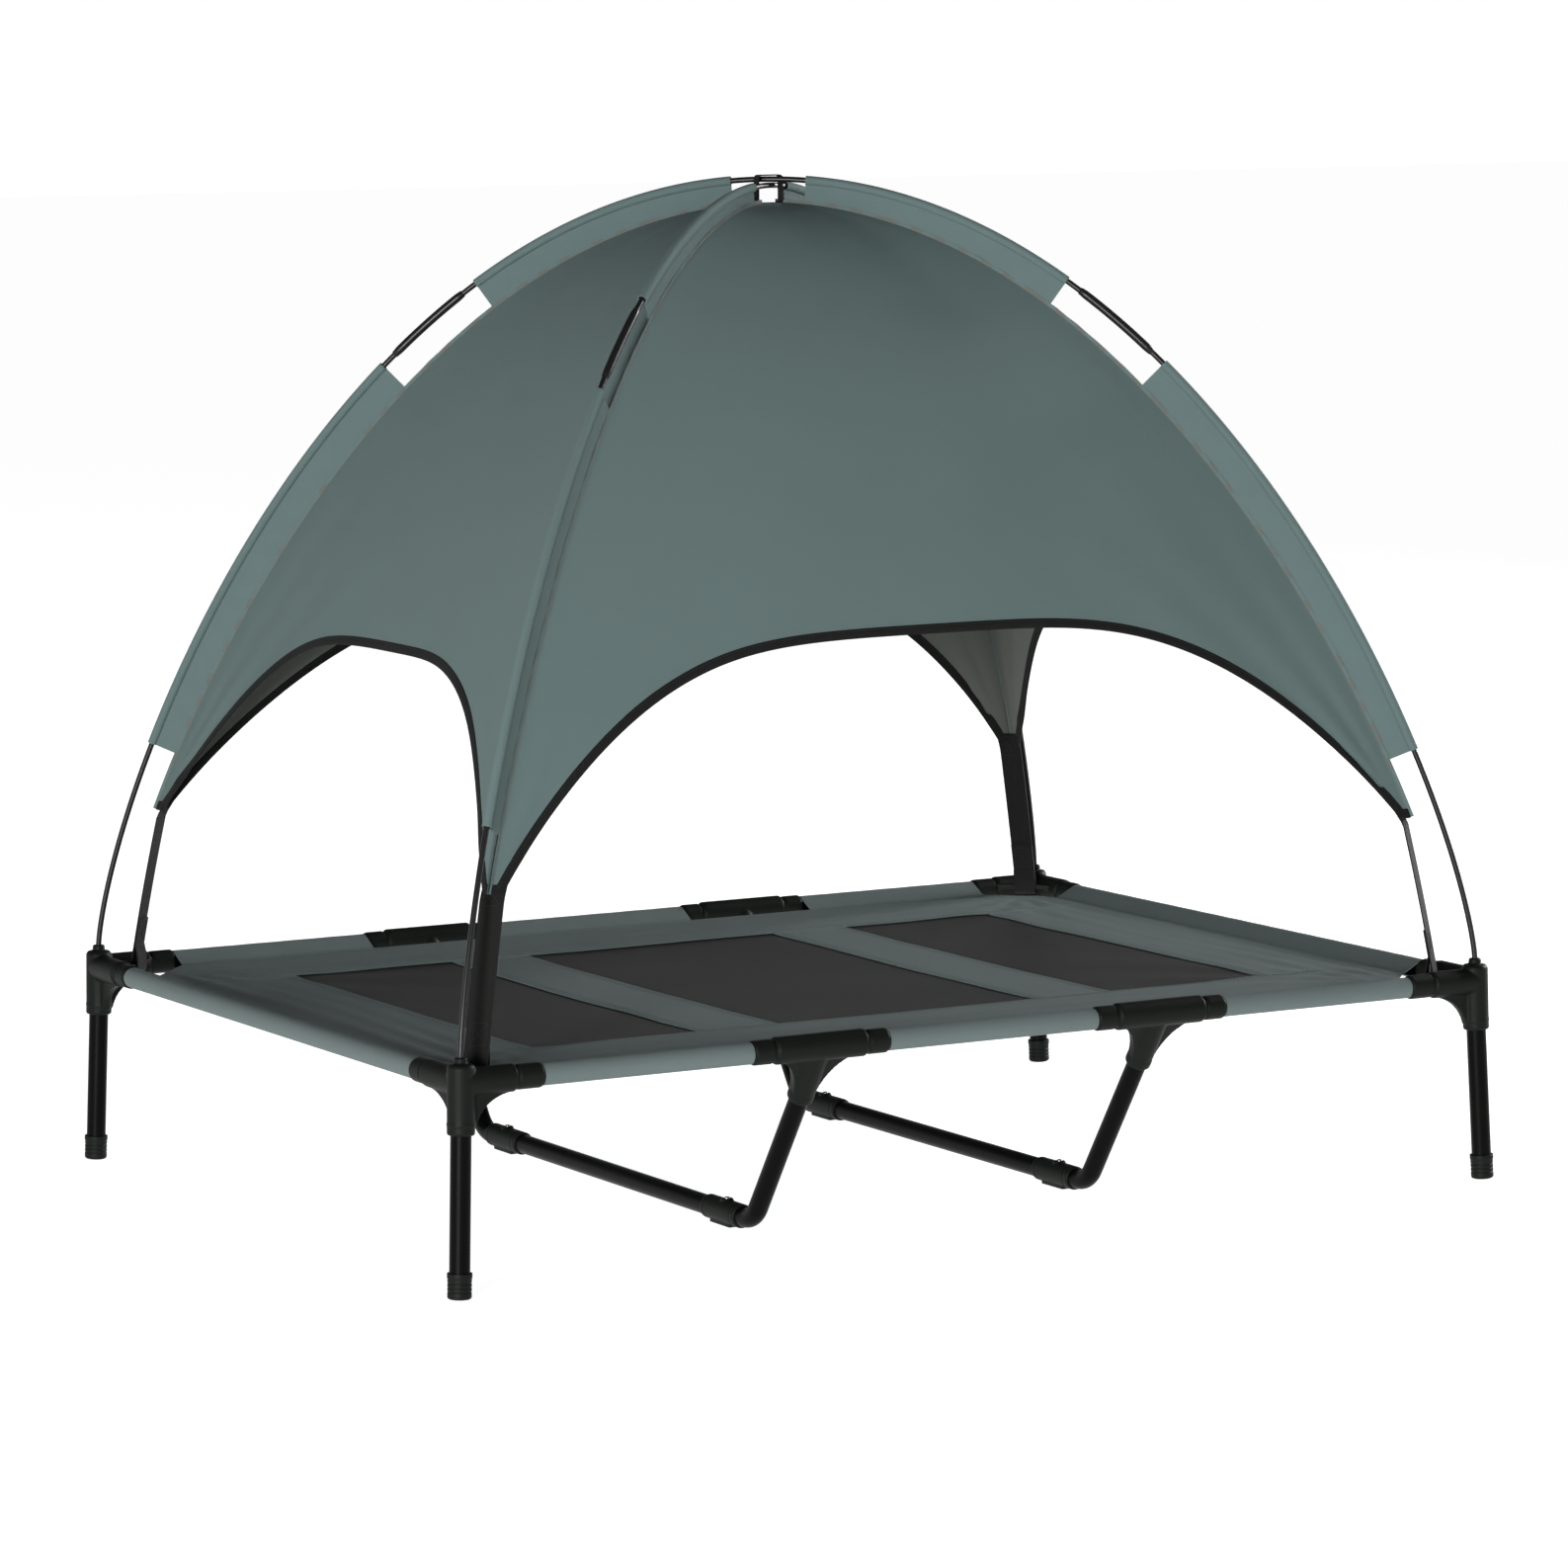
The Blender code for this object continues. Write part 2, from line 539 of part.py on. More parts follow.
def ridge_profile():
    """Distances out and heights of the canopy's ridge, from the top to the hem, evenly along it."""
    out, up = arch_curve(POLE_TOP[0], 1600)
    travel = np.concatenate([[0], np.cumsum(np.hypot(np.diff(out), np.diff(up)))])
    slope_out, slope_up = np.gradient(out, travel), np.gradient(up, travel)
    size = np.hypot(slope_out, slope_up)
    gap = RIDGE_GAP_END + RIDGE_GAP_EXTRA * np.sin(math.pi * travel / travel[-1])
    ridge_out = out - gap * slope_up / size
    ridge_up = up + gap * slope_out / size
    above = ridge_up >= CANOPY_HEM_Z
    ridge_out, ridge_up = ridge_out[above][::-1], ridge_up[above][::-1]
    run = np.concatenate([[0], np.cumsum(np.hypot(np.diff(ridge_out), np.diff(ridge_up)))])
    return run, ridge_out, ridge_up


RIDGE_RUN, RIDGE_OUT, RIDGE_UP = ridge_profile()


def ridge_at(share):
    run = share * RIDGE_RUN[-1]
    return np.interp(run, RIDGE_RUN, RIDGE_OUT), np.interp(run, RIDGE_RUN, RIDGE_UP)


def canopy_point(kind, across, share):
    """A point of a panel that faces -Y (long) or -X (short): across from -1 to 1, share from top to hem."""
    out, up = ridge_at(share)
    x, y = out * DIAGONAL["b"][0], out * DIAGONAL["b"][1]
    sag = CANOPY_SAG * (1 - across ** 2) * min(1.0, share / 0.3)
    if kind == "long":
        return np.array([across * (x - 2.3 * MM), -y + sag, up])
    return np.array([-x + sag, across * (y - 2.0 * MM), up])


def canopy_panel(name, kind, side, across_steps=12, down_steps=7):
    begin = np.interp(CANOPY_TOP_HOLE, RIDGE_OUT, RIDGE_RUN) / RIDGE_RUN[-1]
    middle, power, bulge = ARCH[kind]
    grid = np.zeros((across_steps + 1, down_steps + 1, 3))
    for i in range(across_steps + 1):
        across = math.sin(math.pi / 2 * (2 * i / across_steps - 1))
        edge = middle + (1 - middle) * (1 - (1 - abs(across) ** power) ** bulge)
        for j in range(down_steps + 1):
            grid[i, j] = canopy_point(kind, across, begin + (edge - begin) * j / down_steps)
    normal = np.cross(np.gradient(grid, axis=0), np.gradient(grid, axis=1))
    normal /= np.linalg.norm(normal, axis=2)[:, :, None]
    if normal[across_steps // 2, down_steps // 2, 2] < 0:
        normal = -normal
    inner = grid - CANOPY_THICK * normal
    rows, columns = across_steps + 1, down_steps + 1
    turn = (side, side, 1)
    points = np.concatenate([grid.reshape(-1, 3), inner.reshape(-1, 3)]) * turn
    count = rows * columns
    faces = []
    for i in range(rows - 1):
        for j in range(columns - 1):
            a, d = i * columns + j, i * columns + j + 1
            b, c = a + columns, d + columns
            for one, two, three in ((a, b, c), (a, c, d)):
                faces.append((one, two, three))
                faces.append((count + three, count + two, count + one))
    border = [i * columns for i in range(rows)] + [(rows - 1) * columns + j for j in range(1, columns)]
    border += [i * columns + columns - 1 for i in reversed(range(rows - 1))]
    border += [j for j in reversed(range(1, columns - 1))]
    for a, b in zip(border, border[1:] + border[:1]):
        faces.append((b, a, count + a, count + b))
    return add(name, points, faces, FABRIC)


def ridge_path(which):
    """The canopy's ridge under one pole, from hem to hem."""
    along = DIAGONAL[which]
    flat = [(-out, up) for out, up in zip(RIDGE_OUT[::-1], RIDGE_UP[::-1])]
    flat += [(out, up) for out, up in zip(RIDGE_OUT[1:], RIDGE_UP[1:])]
    return Path([out * along + np.array([0, 0, up]) for out, up in flat], np.cross(Z, along))


def swept(name, path, stops, outer, inner=None):
    """Outlines across the path, closed at both ends; inner leaves a hole right through."""
    points = []
    rings = []
    for s in stops:
        centre, across, out = path.at(s)
        for outline in (outer, inner):
            if outline is None:
                continue
            start = len(points)
            points += [centre + a * across + b * out for a, b in outline(s)]
            rings.append(list(range(start, len(points))))
    faces = []
    step = 1 if inner is None else 2
    count = len(rings[0])
    after = [(k, (k + 1) % count) for k in range(count)]
    for first, second in zip(rings, rings[step:]):
        faces += [(first[k], first[m], second[m], second[k]) for k, m in after]
    if inner is None:
        faces += [tuple(rings[0]), tuple(reversed(rings[-1]))]
    else:
        for one, two in ((rings[0], rings[1]), (rings[-2], rings[-1])):
            faces += [(one[k], one[m], two[m], two[k]) for k, m in after]
    return add(name, points, faces, FABRIC)


def sleeve_stops(half):
    """Distances from the crossing of the upper and lower sleeve's sections, the pole joint between."""
    upper = np.linspace(SLEEVE_TOP_END, half / 3 - WINDOW_HALF, 6)
    lower = np.linspace(half / 3 + WINDOW_HALF, RIDGE_RUN[-1] - 28 * MM, 9)
    return upper, lower


def ridge_sleeve(name, which, sides):
    """A seam along a ridge with the fabric sleeves that hold the pole, open at the pole joints."""
    path = pole_path(which)
    ridge = ridge_path(which)
    half = path.length / 2
    round_angles = [math.radians(a - 90) for a in (14, 62, 112, 156, 204, 248, 298, 346)]
    hole_angles = [math.radians(-85)] + round_angles + [math.radians(-95)]

    def seam(s):
        low, high = 0.4 * MM, 0.4 * MM + SEAM_HEIGHT
        return (-SEAM_HALF, low), (SEAM_HALF, low), (SEAM_HALF, high), (-SEAM_HALF, high)

    def sleeve(s):
        depth = np.linalg.norm(ridge.points - path.at(s)[0], axis=1).min()
        low = -depth + 1.4 * MM
        ring = [(POLE_SLEEVE_OUT * math.cos(a), POLE_SLEEVE_OUT * math.sin(a)) for a in round_angles]
        return [(FLAP_HALF, low)] + ring + [(-FLAP_HALF, low)]

    def hole(s):
        return [(POLE_SLEEVE_IN * math.cos(a), POLE_SLEEVE_IN * math.sin(a)) for a in hole_angles]

    top = ridge.length / 2
    if len(sides) == 2:
        seam_stops = list(np.linspace(0, ridge.length, 25)) + [top - 25 * MM, top + 25 * MM]
    else:
        seam_stops = np.linspace(top + sides[0] * 5 * MM, top + sides[0] * top, 13)
    body = swept(name, ridge, sorted(seam_stops), seam)
    sleeves = []
    for side in sides:
        for span in sleeve_stops(half):
            stops = sorted(half + side * w for w in span)
            sleeves.append(swept("sleeve", path, stops, sleeve, hole))
    return join(body, *sleeves)


def pole(which):
    """Three rods end to end; the middle one carries the two ferrules that its neighbours push into."""
    path = pole_path(which)
    half = path.length / 2
    joint = half / 3
    end = path.length
    low, high = half - joint, half + joint
    clear = 0.8 * MM

    upper, lower = sleeve_stops(half)
    mouth = BOSS_TOP - POLE_FOOT
    tail = list(np.linspace(mouth + 20 * MM, half - lower[-1], 4))
    rise = [0, mouth] + tail + [half - w for w in lower[-2::-1]]
    rise += [low - FERRULE_HALF, low - FERRULE_HALF / 2, low - clear]
    left = [(s, POLE_RADIUS) for s in rise]
    turned(f"pole_{which}_lower_left", path, [(0, 0)] + left + [(low - clear, 0)], FIBREGLASS, 8)
    right = [(end - s, POLE_RADIUS) for s in reversed(rise)]
    turned(f"pole_{which}_lower_right", path, [(high + clear, 0)] + right + [(end, 0)], FIBREGLASS, 8)

    def shell(a, b, radius):
        return [(s, radius) for s in np.linspace(a, b, 3)]

    span = [half - w for w in upper[::-1]] + [half] + [half + w for w in upper]
    outer = shell(low - FERRULE_HALF, low + FERRULE_HALF, FERRULE_RADIUS)
    outer += [(s, POLE_RADIUS) for s in [low + FERRULE_HALF] + span + [high - FERRULE_HALF]]
    outer += shell(high - FERRULE_HALF, high + FERRULE_HALF, FERRULE_RADIUS)
    bore_low = [(low, 0)] + shell(low, low - FERRULE_HALF, FERRULE_BORE)
    bore_high = shell(high + FERRULE_HALF, high, FERRULE_BORE) + [(high, 0)]
    turned(f"pole_{which}_middle", path, bore_low + outer + bore_high, FIBREGLASS, 8)


def top_tie():
    """A webbing loop round the crossed poles, with its base in the canopy's top opening."""
    top = POLE_TOP[0] + POLE_RADIUS + 0.5 * MM
    base = RIDGE_UP[0] - 2.6 * MM
    outer = ((-15 * MM, base), (15 * MM, base), (15 * MM, top + 1.0 * MM), (-15 * MM, top + 1.0 * MM))
    inner = ((-14 * MM, base + 1.0 * MM), (14 * MM, base + 1.0 * MM), (14 * MM, top), (-14 * MM, top))
    loop = prism("top_tie", outer, (0, 0, 0), X, Z, -5 * MM, 5 * MM, WEBBING)
    plate = box("plate", (-14.6 * MM, -10.5 * MM, base), (14.6 * MM, 10.5 * MM, base + 0.9 * MM), WEBBING)
    hole = prism("hole", inner, (0, 0, 0), X, Z, -20 * MM, 20 * MM, WEBBING)
    return join(cut(loop, hole), plate)


def ribbon(name, centres, half_width, thick):
    """A band whose middle line lies in one upright plane at 45 degrees to X and Y."""
    centres = np.asarray(centres, float)
    slopes = np.gradient(centres, axis=0)
    slopes /= np.linalg.norm(slopes, axis=1)[:, None]
    sides = np.stack([-slopes[:, 1], slopes[:, 0]], axis=1) * thick / 2
    inward = np.array([1, 1, 0]) / math.sqrt(2)
    across = np.array([1, -1, 0]) / math.sqrt(2)
    points = []
    for (q, z), (dq, dz) in zip(centres, sides):
        drift = STRAP_DRIFT * max(0.0, z - STRAP_WEB[1]) / (STRAP_TOP - STRAP_WEB[1])
        for sign, width in ((1, -1), (1, 1), (-1, 1), (-1, -1)):
            flat = (q + sign * dq) * inward + (drift + width * half_width) * across
            points.append(flat + np.array([0, 0, z + sign * dz]))
    faces = []
    for k in range(len(centres) - 1):
        for i in range(4):
            j = (i + 1) % 4
            faces.append((4 * k + i, 4 * k + j, 4 * k + 4 + j, 4 * k + 4 + i))
    faces += [(0, 1, 2, 3), tuple(4 * len(centres) - 1 - i for i in range(4))]
    return add(name, points, faces, WEBBING, smooth=False)


def corner_strap():
    """From the canopy's corner down through the connector's slot, round its bar and back up."""
    slot = SLOT_CENTRE * math.sqrt(2)
    back = slot + 7.4 * MM
    top = slot + STRAP_LEAN
    low = STRAP_WEB[0] - 2.6 * MM

    def main(z):
        return slot + (top - slot) * (z - STRAP_WEB[1]) / (STRAP_TOP - STRAP_WEB[1])

    heights = np.linspace(STRAP_TOP, STRAP_WEB[1] + 1 * MM, 6)
    down = [(main(z), z) for z in heights] + [(slot, STRAP_WEB[0] - 0.5 * MM)]
    bend = [(slot + 3.7 * MM * (1 - math.cos(a)), low - 3.0 * MM * math.sin(a) + 1 * MM)
            for a in (0.6, 1.2, math.pi - 1.2, math.pi - 0.6)]
    rise = [(back, STRAP_WEB[0] - 0.5 * MM), (back, STRAP_WEB[1] + 2 * MM)]
    meet = [(main(z) + 0.9 * MM, z) for z in (240 * MM, 256 * MM)]
    half = STRAP_WIDTH / 2
    lead = ribbon("corner_strap", down + bend, half, STRAP_THICK)
    tail = ribbon("tail", [bend[-2], bend[-1]] + rise + meet, half - 0.3 * MM, STRAP_THICK)
    return join(lead, tail)


four_corners(corner_connector(), "corner_connector")
four_corners(leg(), "leg_tube")
four_corners(foot_cap(), "foot_cap")
four_corners(corner_strap(), "corner_strap")
rails()

bracket = centre_bracket()
support = support_leg()
sleeve = floor_sleeve()
for tag, sx, sy in (("fl", -1, -1), ("fr", 1, -1), ("bl", -1, 1), ("br", 1, 1)):
    across = sx * BRACKET_X
    placed(bracket, f"centre_bracket_{tag}", sx, -sy, (across, sy * HALF_WIDTH, 0))
    placed(support, f"support_leg_{tag}", sx, -sy, (across, 0, 0))
    placed(sleeve, f"floor_sleeve_{tag}", sx, -sy, (across, 0, 0))
    snap_button(f"snap_button_{tag}", across, sy * BUTTON_Y)
for used in (bracket, support, sleeve):
    bpy.data.objects.remove(used, do_unlink=True)
for tag, sx in (("left", -1), ("right", 1)):
    reach = BUTTON_Y - 11.5 * MM
    ends = (sx * BRACKET_X, -reach, BAR_HEIGHT), (sx * BRACKET_X, reach, BAR_HEIGHT)
    tube(f"support_bar_{tag}", straight(*ends), STEEL)

bed_fabric()
mesh_panels()

canopy_panel("canopy_front", "long", 1)
canopy_panel("canopy_back", "long", -1)
canopy_panel("canopy_left", "short", 1)
canopy_panel("canopy_right", "short", -1)
ridge_sleeve("ridge_sleeve_a", "a", (-1, 1))
ridge_sleeve("ridge_sleeve_b_left", "b", (-1,))
ridge_sleeve("ridge_sleeve_b_right", "b", (1,))
pole("a")
pole("b")
top_tie()
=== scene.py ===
"""The raised dog bed: cloth, seams, webbing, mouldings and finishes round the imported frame."""

import contextlib
import math

import bmesh
import bpy
import numpy as np
from mathutils import Matrix, Vector


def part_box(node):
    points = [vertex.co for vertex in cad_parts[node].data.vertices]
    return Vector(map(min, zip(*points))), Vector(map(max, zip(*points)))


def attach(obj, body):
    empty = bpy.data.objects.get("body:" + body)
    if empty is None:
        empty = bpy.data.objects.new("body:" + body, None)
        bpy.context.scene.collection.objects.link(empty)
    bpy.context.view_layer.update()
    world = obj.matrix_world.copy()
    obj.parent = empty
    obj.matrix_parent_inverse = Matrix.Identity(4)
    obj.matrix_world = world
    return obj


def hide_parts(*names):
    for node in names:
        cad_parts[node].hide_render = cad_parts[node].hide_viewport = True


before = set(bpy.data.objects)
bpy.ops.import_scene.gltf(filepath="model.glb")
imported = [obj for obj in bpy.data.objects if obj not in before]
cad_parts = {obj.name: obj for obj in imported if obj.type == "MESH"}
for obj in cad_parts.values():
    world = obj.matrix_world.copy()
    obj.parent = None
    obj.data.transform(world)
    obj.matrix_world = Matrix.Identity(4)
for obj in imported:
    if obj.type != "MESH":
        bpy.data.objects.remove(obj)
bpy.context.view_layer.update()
SCENE = bpy.context.scene
MM = 0.001
CORNERS = (("fl", -1, -1), ("fr", 1, -1), ("bl", -1, 1), ("br", 1, 1))
X, Y, Z = np.eye(3)


def middle_of(node):
    low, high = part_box(node)
    return (low + high) / 2


# ---- sizes, from the frame
HALF_LENGTH = middle_of("rail_right_end").x
HALF_WIDTH = middle_of("rail_back_middle").y
RAIL_HEIGHT = middle_of("rail_back_middle").z
HALF_DIAGONAL = math.hypot(HALF_LENGTH, HALF_WIDTH)
COS, SIN = HALF_LENGTH / HALF_DIAGONAL, HALF_WIDTH / HALF_DIAGONAL
TUBE_RADIUS = 10.3 * MM
TUBE_INSIDE = 9.3 * MM
BORE_RADIUS = 10.5 * MM
FOOT_SPLAY_X = abs(middle_of("foot_cap_fr").x) - HALF_LENGTH
FOOT_SPLAY_Y = abs(middle_of("foot_cap_fr").y) - HALF_WIDTH
LEG_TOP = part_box("leg_tube_fr")[1].z
BRACKET_X = middle_of("centre_bracket_fr").x
BAR_HEIGHT = middle_of("support_bar_left").z
BUTTON_Y = middle_of("snap_button_br").y
BOSS_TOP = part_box("corner_connector_fl")[1].z
POLE_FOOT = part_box("pole_a_lower_left")[0].z
POLE_RADIUS = 3.0 * MM
POLE_TOP = 1060.5 * MM
POLE_LOWER = 6.5 * MM
SPREAD_POWER, RISE_POWER = 2.04, 1.35
RIDGE_GAP_END = 24.0 * MM
RIDGE_GAP_EXTRA = 12.0 * MM
CANOPY_HEM_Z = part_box("canopy_front")[0].z
STRAP_HALF = 12.5 * MM
STRAP_THICK = 1.4 * MM
STRAP_WEB = (213.0 * MM, 218.0 * MM)
STRAP_TOP = 400.0 * MM
STRAP_CAD_TOP = 390.0 * MM
STRAP_SLOT = 30.0 * MM
STRAP_LEAN = 32.6 * MM
STRAP_DRIFT = 10.6 * MM
MESH_HALF_WIDTH = 285.0 * MM
MESH_EDGES = ((-436.0 * MM, -247.0 * MM), (-154.0 * MM, 154.0 * MM), (247.0 * MM, 436.0 * MM))


# ---- materials
class Nodes:
    """A short way to build a node material round one Principled shader."""

    def __init__(self, name, colour, roughness, **uniform):
        self.made = bpy.data.materials.new(name)
        self.made.use_nodes = True
        self.tree = self.made.node_tree
        self.shader = self.tree.nodes["Principled BSDF"]
        self.shader.inputs["Base Color"].default_value = (*colour, 1.0)
        self.shader.inputs["Roughness"].default_value = roughness
        self.made.diffuse_color = (*colour, 1.0)
        self.colour = colour
        for key, value in uniform.items():
            self.shader.inputs[key.replace("_", " ")].default_value = value

    def add(self, kind, inputs=None, output=0, **settings):
        """The output of a new node, whose inputs are linked to sockets or set to values."""
        node = self.tree.nodes.new(kind)
        for key, value in settings.items():
            setattr(node, key, value)
        for key, value in (inputs or {}).items():
            if isinstance(value, bpy.types.NodeSocket):
                self.tree.links.new(value, node.inputs[key])
            else:
                node.inputs[key].default_value = value
        return node.outputs[output]

    def math(self, operation, a, b=0.0, c=0.0):
        return self.add("ShaderNodeMath", {0: a, 1: b, 2: c}, operation=operation)

    def times(self, a, b):
        return self.math("MULTIPLY", a, b)

    def plus(self, a, b):
        return self.math("ADD", a, b)

    def wave(self, value, pitch):
        return self.math("SINE", self.times(value, 2 * math.pi / pitch))

    def cloth_place(self):
        """Distances along and across the cloth, in metres, from its own flat pattern."""
        flat = self.add("ShaderNodeUVMap", uv_map="cloth")
        return flat, *(self.add("ShaderNodeSeparateXYZ", {0: flat}, k) for k in (0, 1))

    def place(self):
        return self.add("ShaderNodeTexCoord", output="Object")

    def stretched(self, place, scale):
        return self.add("ShaderNodeMapping", {"Vector": place, "Scale": scale})

    def noise(self, place, scale, detail=3.0, rough=0.5):
        inputs = {"Vector": place, "Scale": scale, "Detail": detail, "Roughness": rough}
        return self.add("ShaderNodeTexNoise", inputs)

    def ranged(self, value, low, high, start=0.0, end=1.0):
        """From low to high as value goes from start to end."""
        return self.add("ShaderNodeMapRange", {0: value, 1: start, 2: end, 3: low, 4: high})

    def tint(self, amount, low, high):
        """The base colour times a number that goes from low to high as amount goes from 0 to 1."""
        inputs = {0: self.colour, "Scale": self.ranged(amount, low, high)}
        mixed = self.add("ShaderNodeVectorMath", inputs, operation="SCALE")
        self.tree.links.new(mixed, self.shader.inputs["Base Color"])

    def bump(self, height, depth, strength, **below):
        inputs = {"Height": height, "Distance": depth, "Strength": strength, **below}
        return self.add("ShaderNodeBump", inputs)

    def finish(self, normal, roughness):
        self.tree.links.new(normal, self.shader.inputs["Normal"])
        self.tree.links.new(roughness, self.shader.inputs["Roughness"])
        return self.made


def woven(name, colour, pitch, depth, roughness=0.85, variation=0.05):
    """A plain weave: yarns go over and under each other every pitch, with small changes of shade."""
    n = Nodes(name, colour, roughness, Sheen_Weight=0.03, Sheen_Roughness=0.55,
              Specular_IOR_Level=0.15)
    flat, u, v = n.cloth_place()
    weave = n.times(n.wave(u, pitch), n.wave(v, pitch))
    slub = n.noise(n.stretched(flat, (1.0, 14.0, 1.0)), 60.0, 2.0)
    cloud = n.noise(flat, 7.0)
    shade_sum = n.plus(n.times(weave, 0.12), n.plus(n.times(slub, 0.45), cloud))
    n.tint(n.times(shade_sum, 0.68), 1 - 1.6 * variation, 1 + 1.6 * variation)
    small = n.bump(weave, depth, 0.55)
    normal = n.bump(n.noise(flat, 38.0, 2.0), 0.0012, 0.28, Normal=small)
    return n.finish(normal, n.ranged(cloud, roughness - 0.05, roughness + 0.05))


def ribbed(name, colour, pitch, depth):
    """Webbing or tape: ribs across its length, crossed by fine lengthwise cords."""
    roughness = 0.75
    n = Nodes(name, colour, roughness, Sheen_Weight=0.02, Sheen_Roughness=0.5,
              Specular_IOR_Level=0.12)
    flat, u, v = n.cloth_place()
    ribs, cords = n.wave(v, pitch), n.wave(u, pitch * 1.6)
    weave = n.plus(n.times(n.times(ribs, cords), 0.6), n.times(cords, 0.4))
    cloud = n.noise(flat, 90.0, 2.0)
    n.tint(n.plus(n.times(weave, 0.3), cloud), 0.8, 1.35)
    return n.finish(n.bump(weave, depth, 0.7), n.ranged(cloud, roughness - 0.08, roughness + 0.08))


def netting(name, colour, pitch, depth):
    """Coated mesh: round strands each way, with the small gaps between them painted near black as painted
    shade seen through the openings.
    """
    n = Nodes(name, colour, 0.62, Specular_IOR_Level=0.09, Sheen_Weight=0.01)
    flat, u, v = n.cloth_place()
    across, along = (n.math("POWER", n.math("ABSOLUTE", n.wave(place, 2 * pitch)), 0.6)
                     for place in (u, v))
    strands = n.math("MAXIMUM", across, along)
    hole = n.ranged(strands, 0.0, 1.0, 0.42, 0.72)
    # painted shade: the gaps between the strands are darkened to near black for the shade seen through them
    n.tint(n.times(hole, n.plus(n.times(n.noise(flat, 9.0), 0.3), 0.85)), 0.12, 1.1)
    return n.finish(n.bump(strands, depth, 0.8), n.ranged(hole, 0.9, 0.55))


def moulded_plastic(name, colour):
    """Spark-eroded plastic with a soft wear shine."""
    n = Nodes(name, colour, 0.5, Specular_IOR_Level=0.09)
    place = n.place()
    grain = n.noise(place, 1900.0, 2.0, 0.6)
    cloud = n.noise(place, 24.0, 4.0)
    n.tint(n.plus(n.times(grain, 0.35), n.times(cloud, 0.65)), 0.78, 1.3)
    return n.finish(n.bump(grain, 0.00012, 0.5), n.ranged(cloud, 0.42, 0.6))


def powder_coat(name, colour):
    """Satin powder coat: a faint orange peel, with scuffs that show as duller, paler marks."""
    n = Nodes(name, colour, 0.42, Specular_IOR_Level=0.05)
    place = n.place()
    scuff = n.noise(n.stretched(place, (1.0, 1.0, 0.25)), 130.0, 5.0, 0.7)
    marks = n.ranged(scuff, 0.0, 1.0, 0.60, 0.74)
    n.tint(marks, 1.0, 1.9)
    return n.finish(n.bump(n.noise(place, 620.0, 2.0), 0.00015, 0.35), n.ranged(marks, 0.36, 0.6))


def rod_finish(name, colour, roughness, metallic=0.0):
    """A drawn or spun finish, with fine streaks along its length."""
    n = Nodes(name, colour, roughness, Metallic=metallic, Specular_IOR_Level=0.25)
    streak = n.noise(n.stretched(n.place(), (1.0, 1.0, 0.12)), 900.0)
    n.tint(streak, 0.8, 1.3)
    return n.finish(n.bump(streak, 0.00006, 0.4), n.ranged(streak, roughness - 0.06, roughness + 0.1))


CANOPY_LINING = woven("canopy_lining", (0.105, 0.114, 0.104), 1.0 * MM, 0.00022)
CANOPY_CLOTH = woven("canopy_cloth", (0.094, 0.136, 0.134), 1.0 * MM, 0.00022)
# bed cloth: the fabric's own grey, set a little lighter than the canopy cloth as painted light on the bed's
# top
BED_CLOTH = woven("bed_cloth", (0.108, 0.138, 0.135), 1.3 * MM, 0.0003, roughness=0.8, variation=0.07)
NET = netting("mesh_net", (0.0070, 0.0086, 0.0070), 1.9 * MM, 0.0004)
TAPE = ribbed("binding_tape", (0.0060, 0.0066, 0.0060), 1.1 * MM, 0.0002)
WEBBING = ribbed("webbing", (0.0062, 0.0064, 0.0060), 1.7 * MM, 0.0004)
GREY_THREAD = rod_finish("grey_thread", (0.10, 0.13, 0.13), 0.7)
BLACK_THREAD = rod_finish("black_thread", (0.014, 0.015, 0.014), 0.65)
PLASTIC = moulded_plastic("moulded_plastic", (0.0048, 0.0062, 0.0050))
STEEL = powder_coat("powder_coat", (0.0013, 0.0015, 0.0012))
RODS = rod_finish("fibreglass", (0.007, 0.007, 0.007), 0.32)
FERRULE = rod_finish("ferrule_metal", (0.012, 0.012, 0.012), 0.3, 0.3)
BUTTON = rod_finish("button_steel", (0.42, 0.42, 0.41), 0.3, 1.0)


# ---- mesh helpers
def travelled(points):
    """The distance along a line at each of its points."""
    steps = np.linalg.norm(np.diff(np.asarray(points, float), axis=0), axis=1)
    return np.concatenate([[0.0], np.cumsum(steps)])


def placed(s, travel, values):
    """Values given at distances travel, read at distances s."""
    return np.stack([np.interp(s, travel, column) for column in values.T], axis=-1)


def pattern(around, along):
    """Places on a flat strip: around it for the columns and along it for the rows."""
    return np.stack(np.broadcast_arrays(around, along[:, None]), axis=-1)


def mm(*points):
    """Points given in millimetres, in metres."""
    return [tuple(v * MM for v in point) for point in points]


def profile(length, head, tail):
    """(distance, radius) points, from millimetres along from the start and back from the end."""
    return mm(*head) + [(length - back * MM, radius * MM) for back, radius in tail]


def linked(name, data):
    made = bpy.data.objects.new(name, data)
    SCENE.collection.objects.link(made)
    return made


def discard(*objs):
    for obj in objs:
        bpy.data.objects.remove(obj, do_unlink=True)


@contextlib.contextmanager
def edited(mesh):
    """The mesh as a bmesh, which is written back when the block ends."""
    shape = bmesh.new()
    shape.from_mesh(mesh)
    yield shape
    shape.to_mesh(mesh)
    shape.free()


def shade(mesh, sharp):
    """Smooth shading, with creases where faces turn more than sharp degrees."""
    mesh.polygons.foreach_set("use_smooth", [True] * len(mesh.polygons))
    if sharp:
        mesh.set_sharp_from_angle(angle=math.radians(sharp))


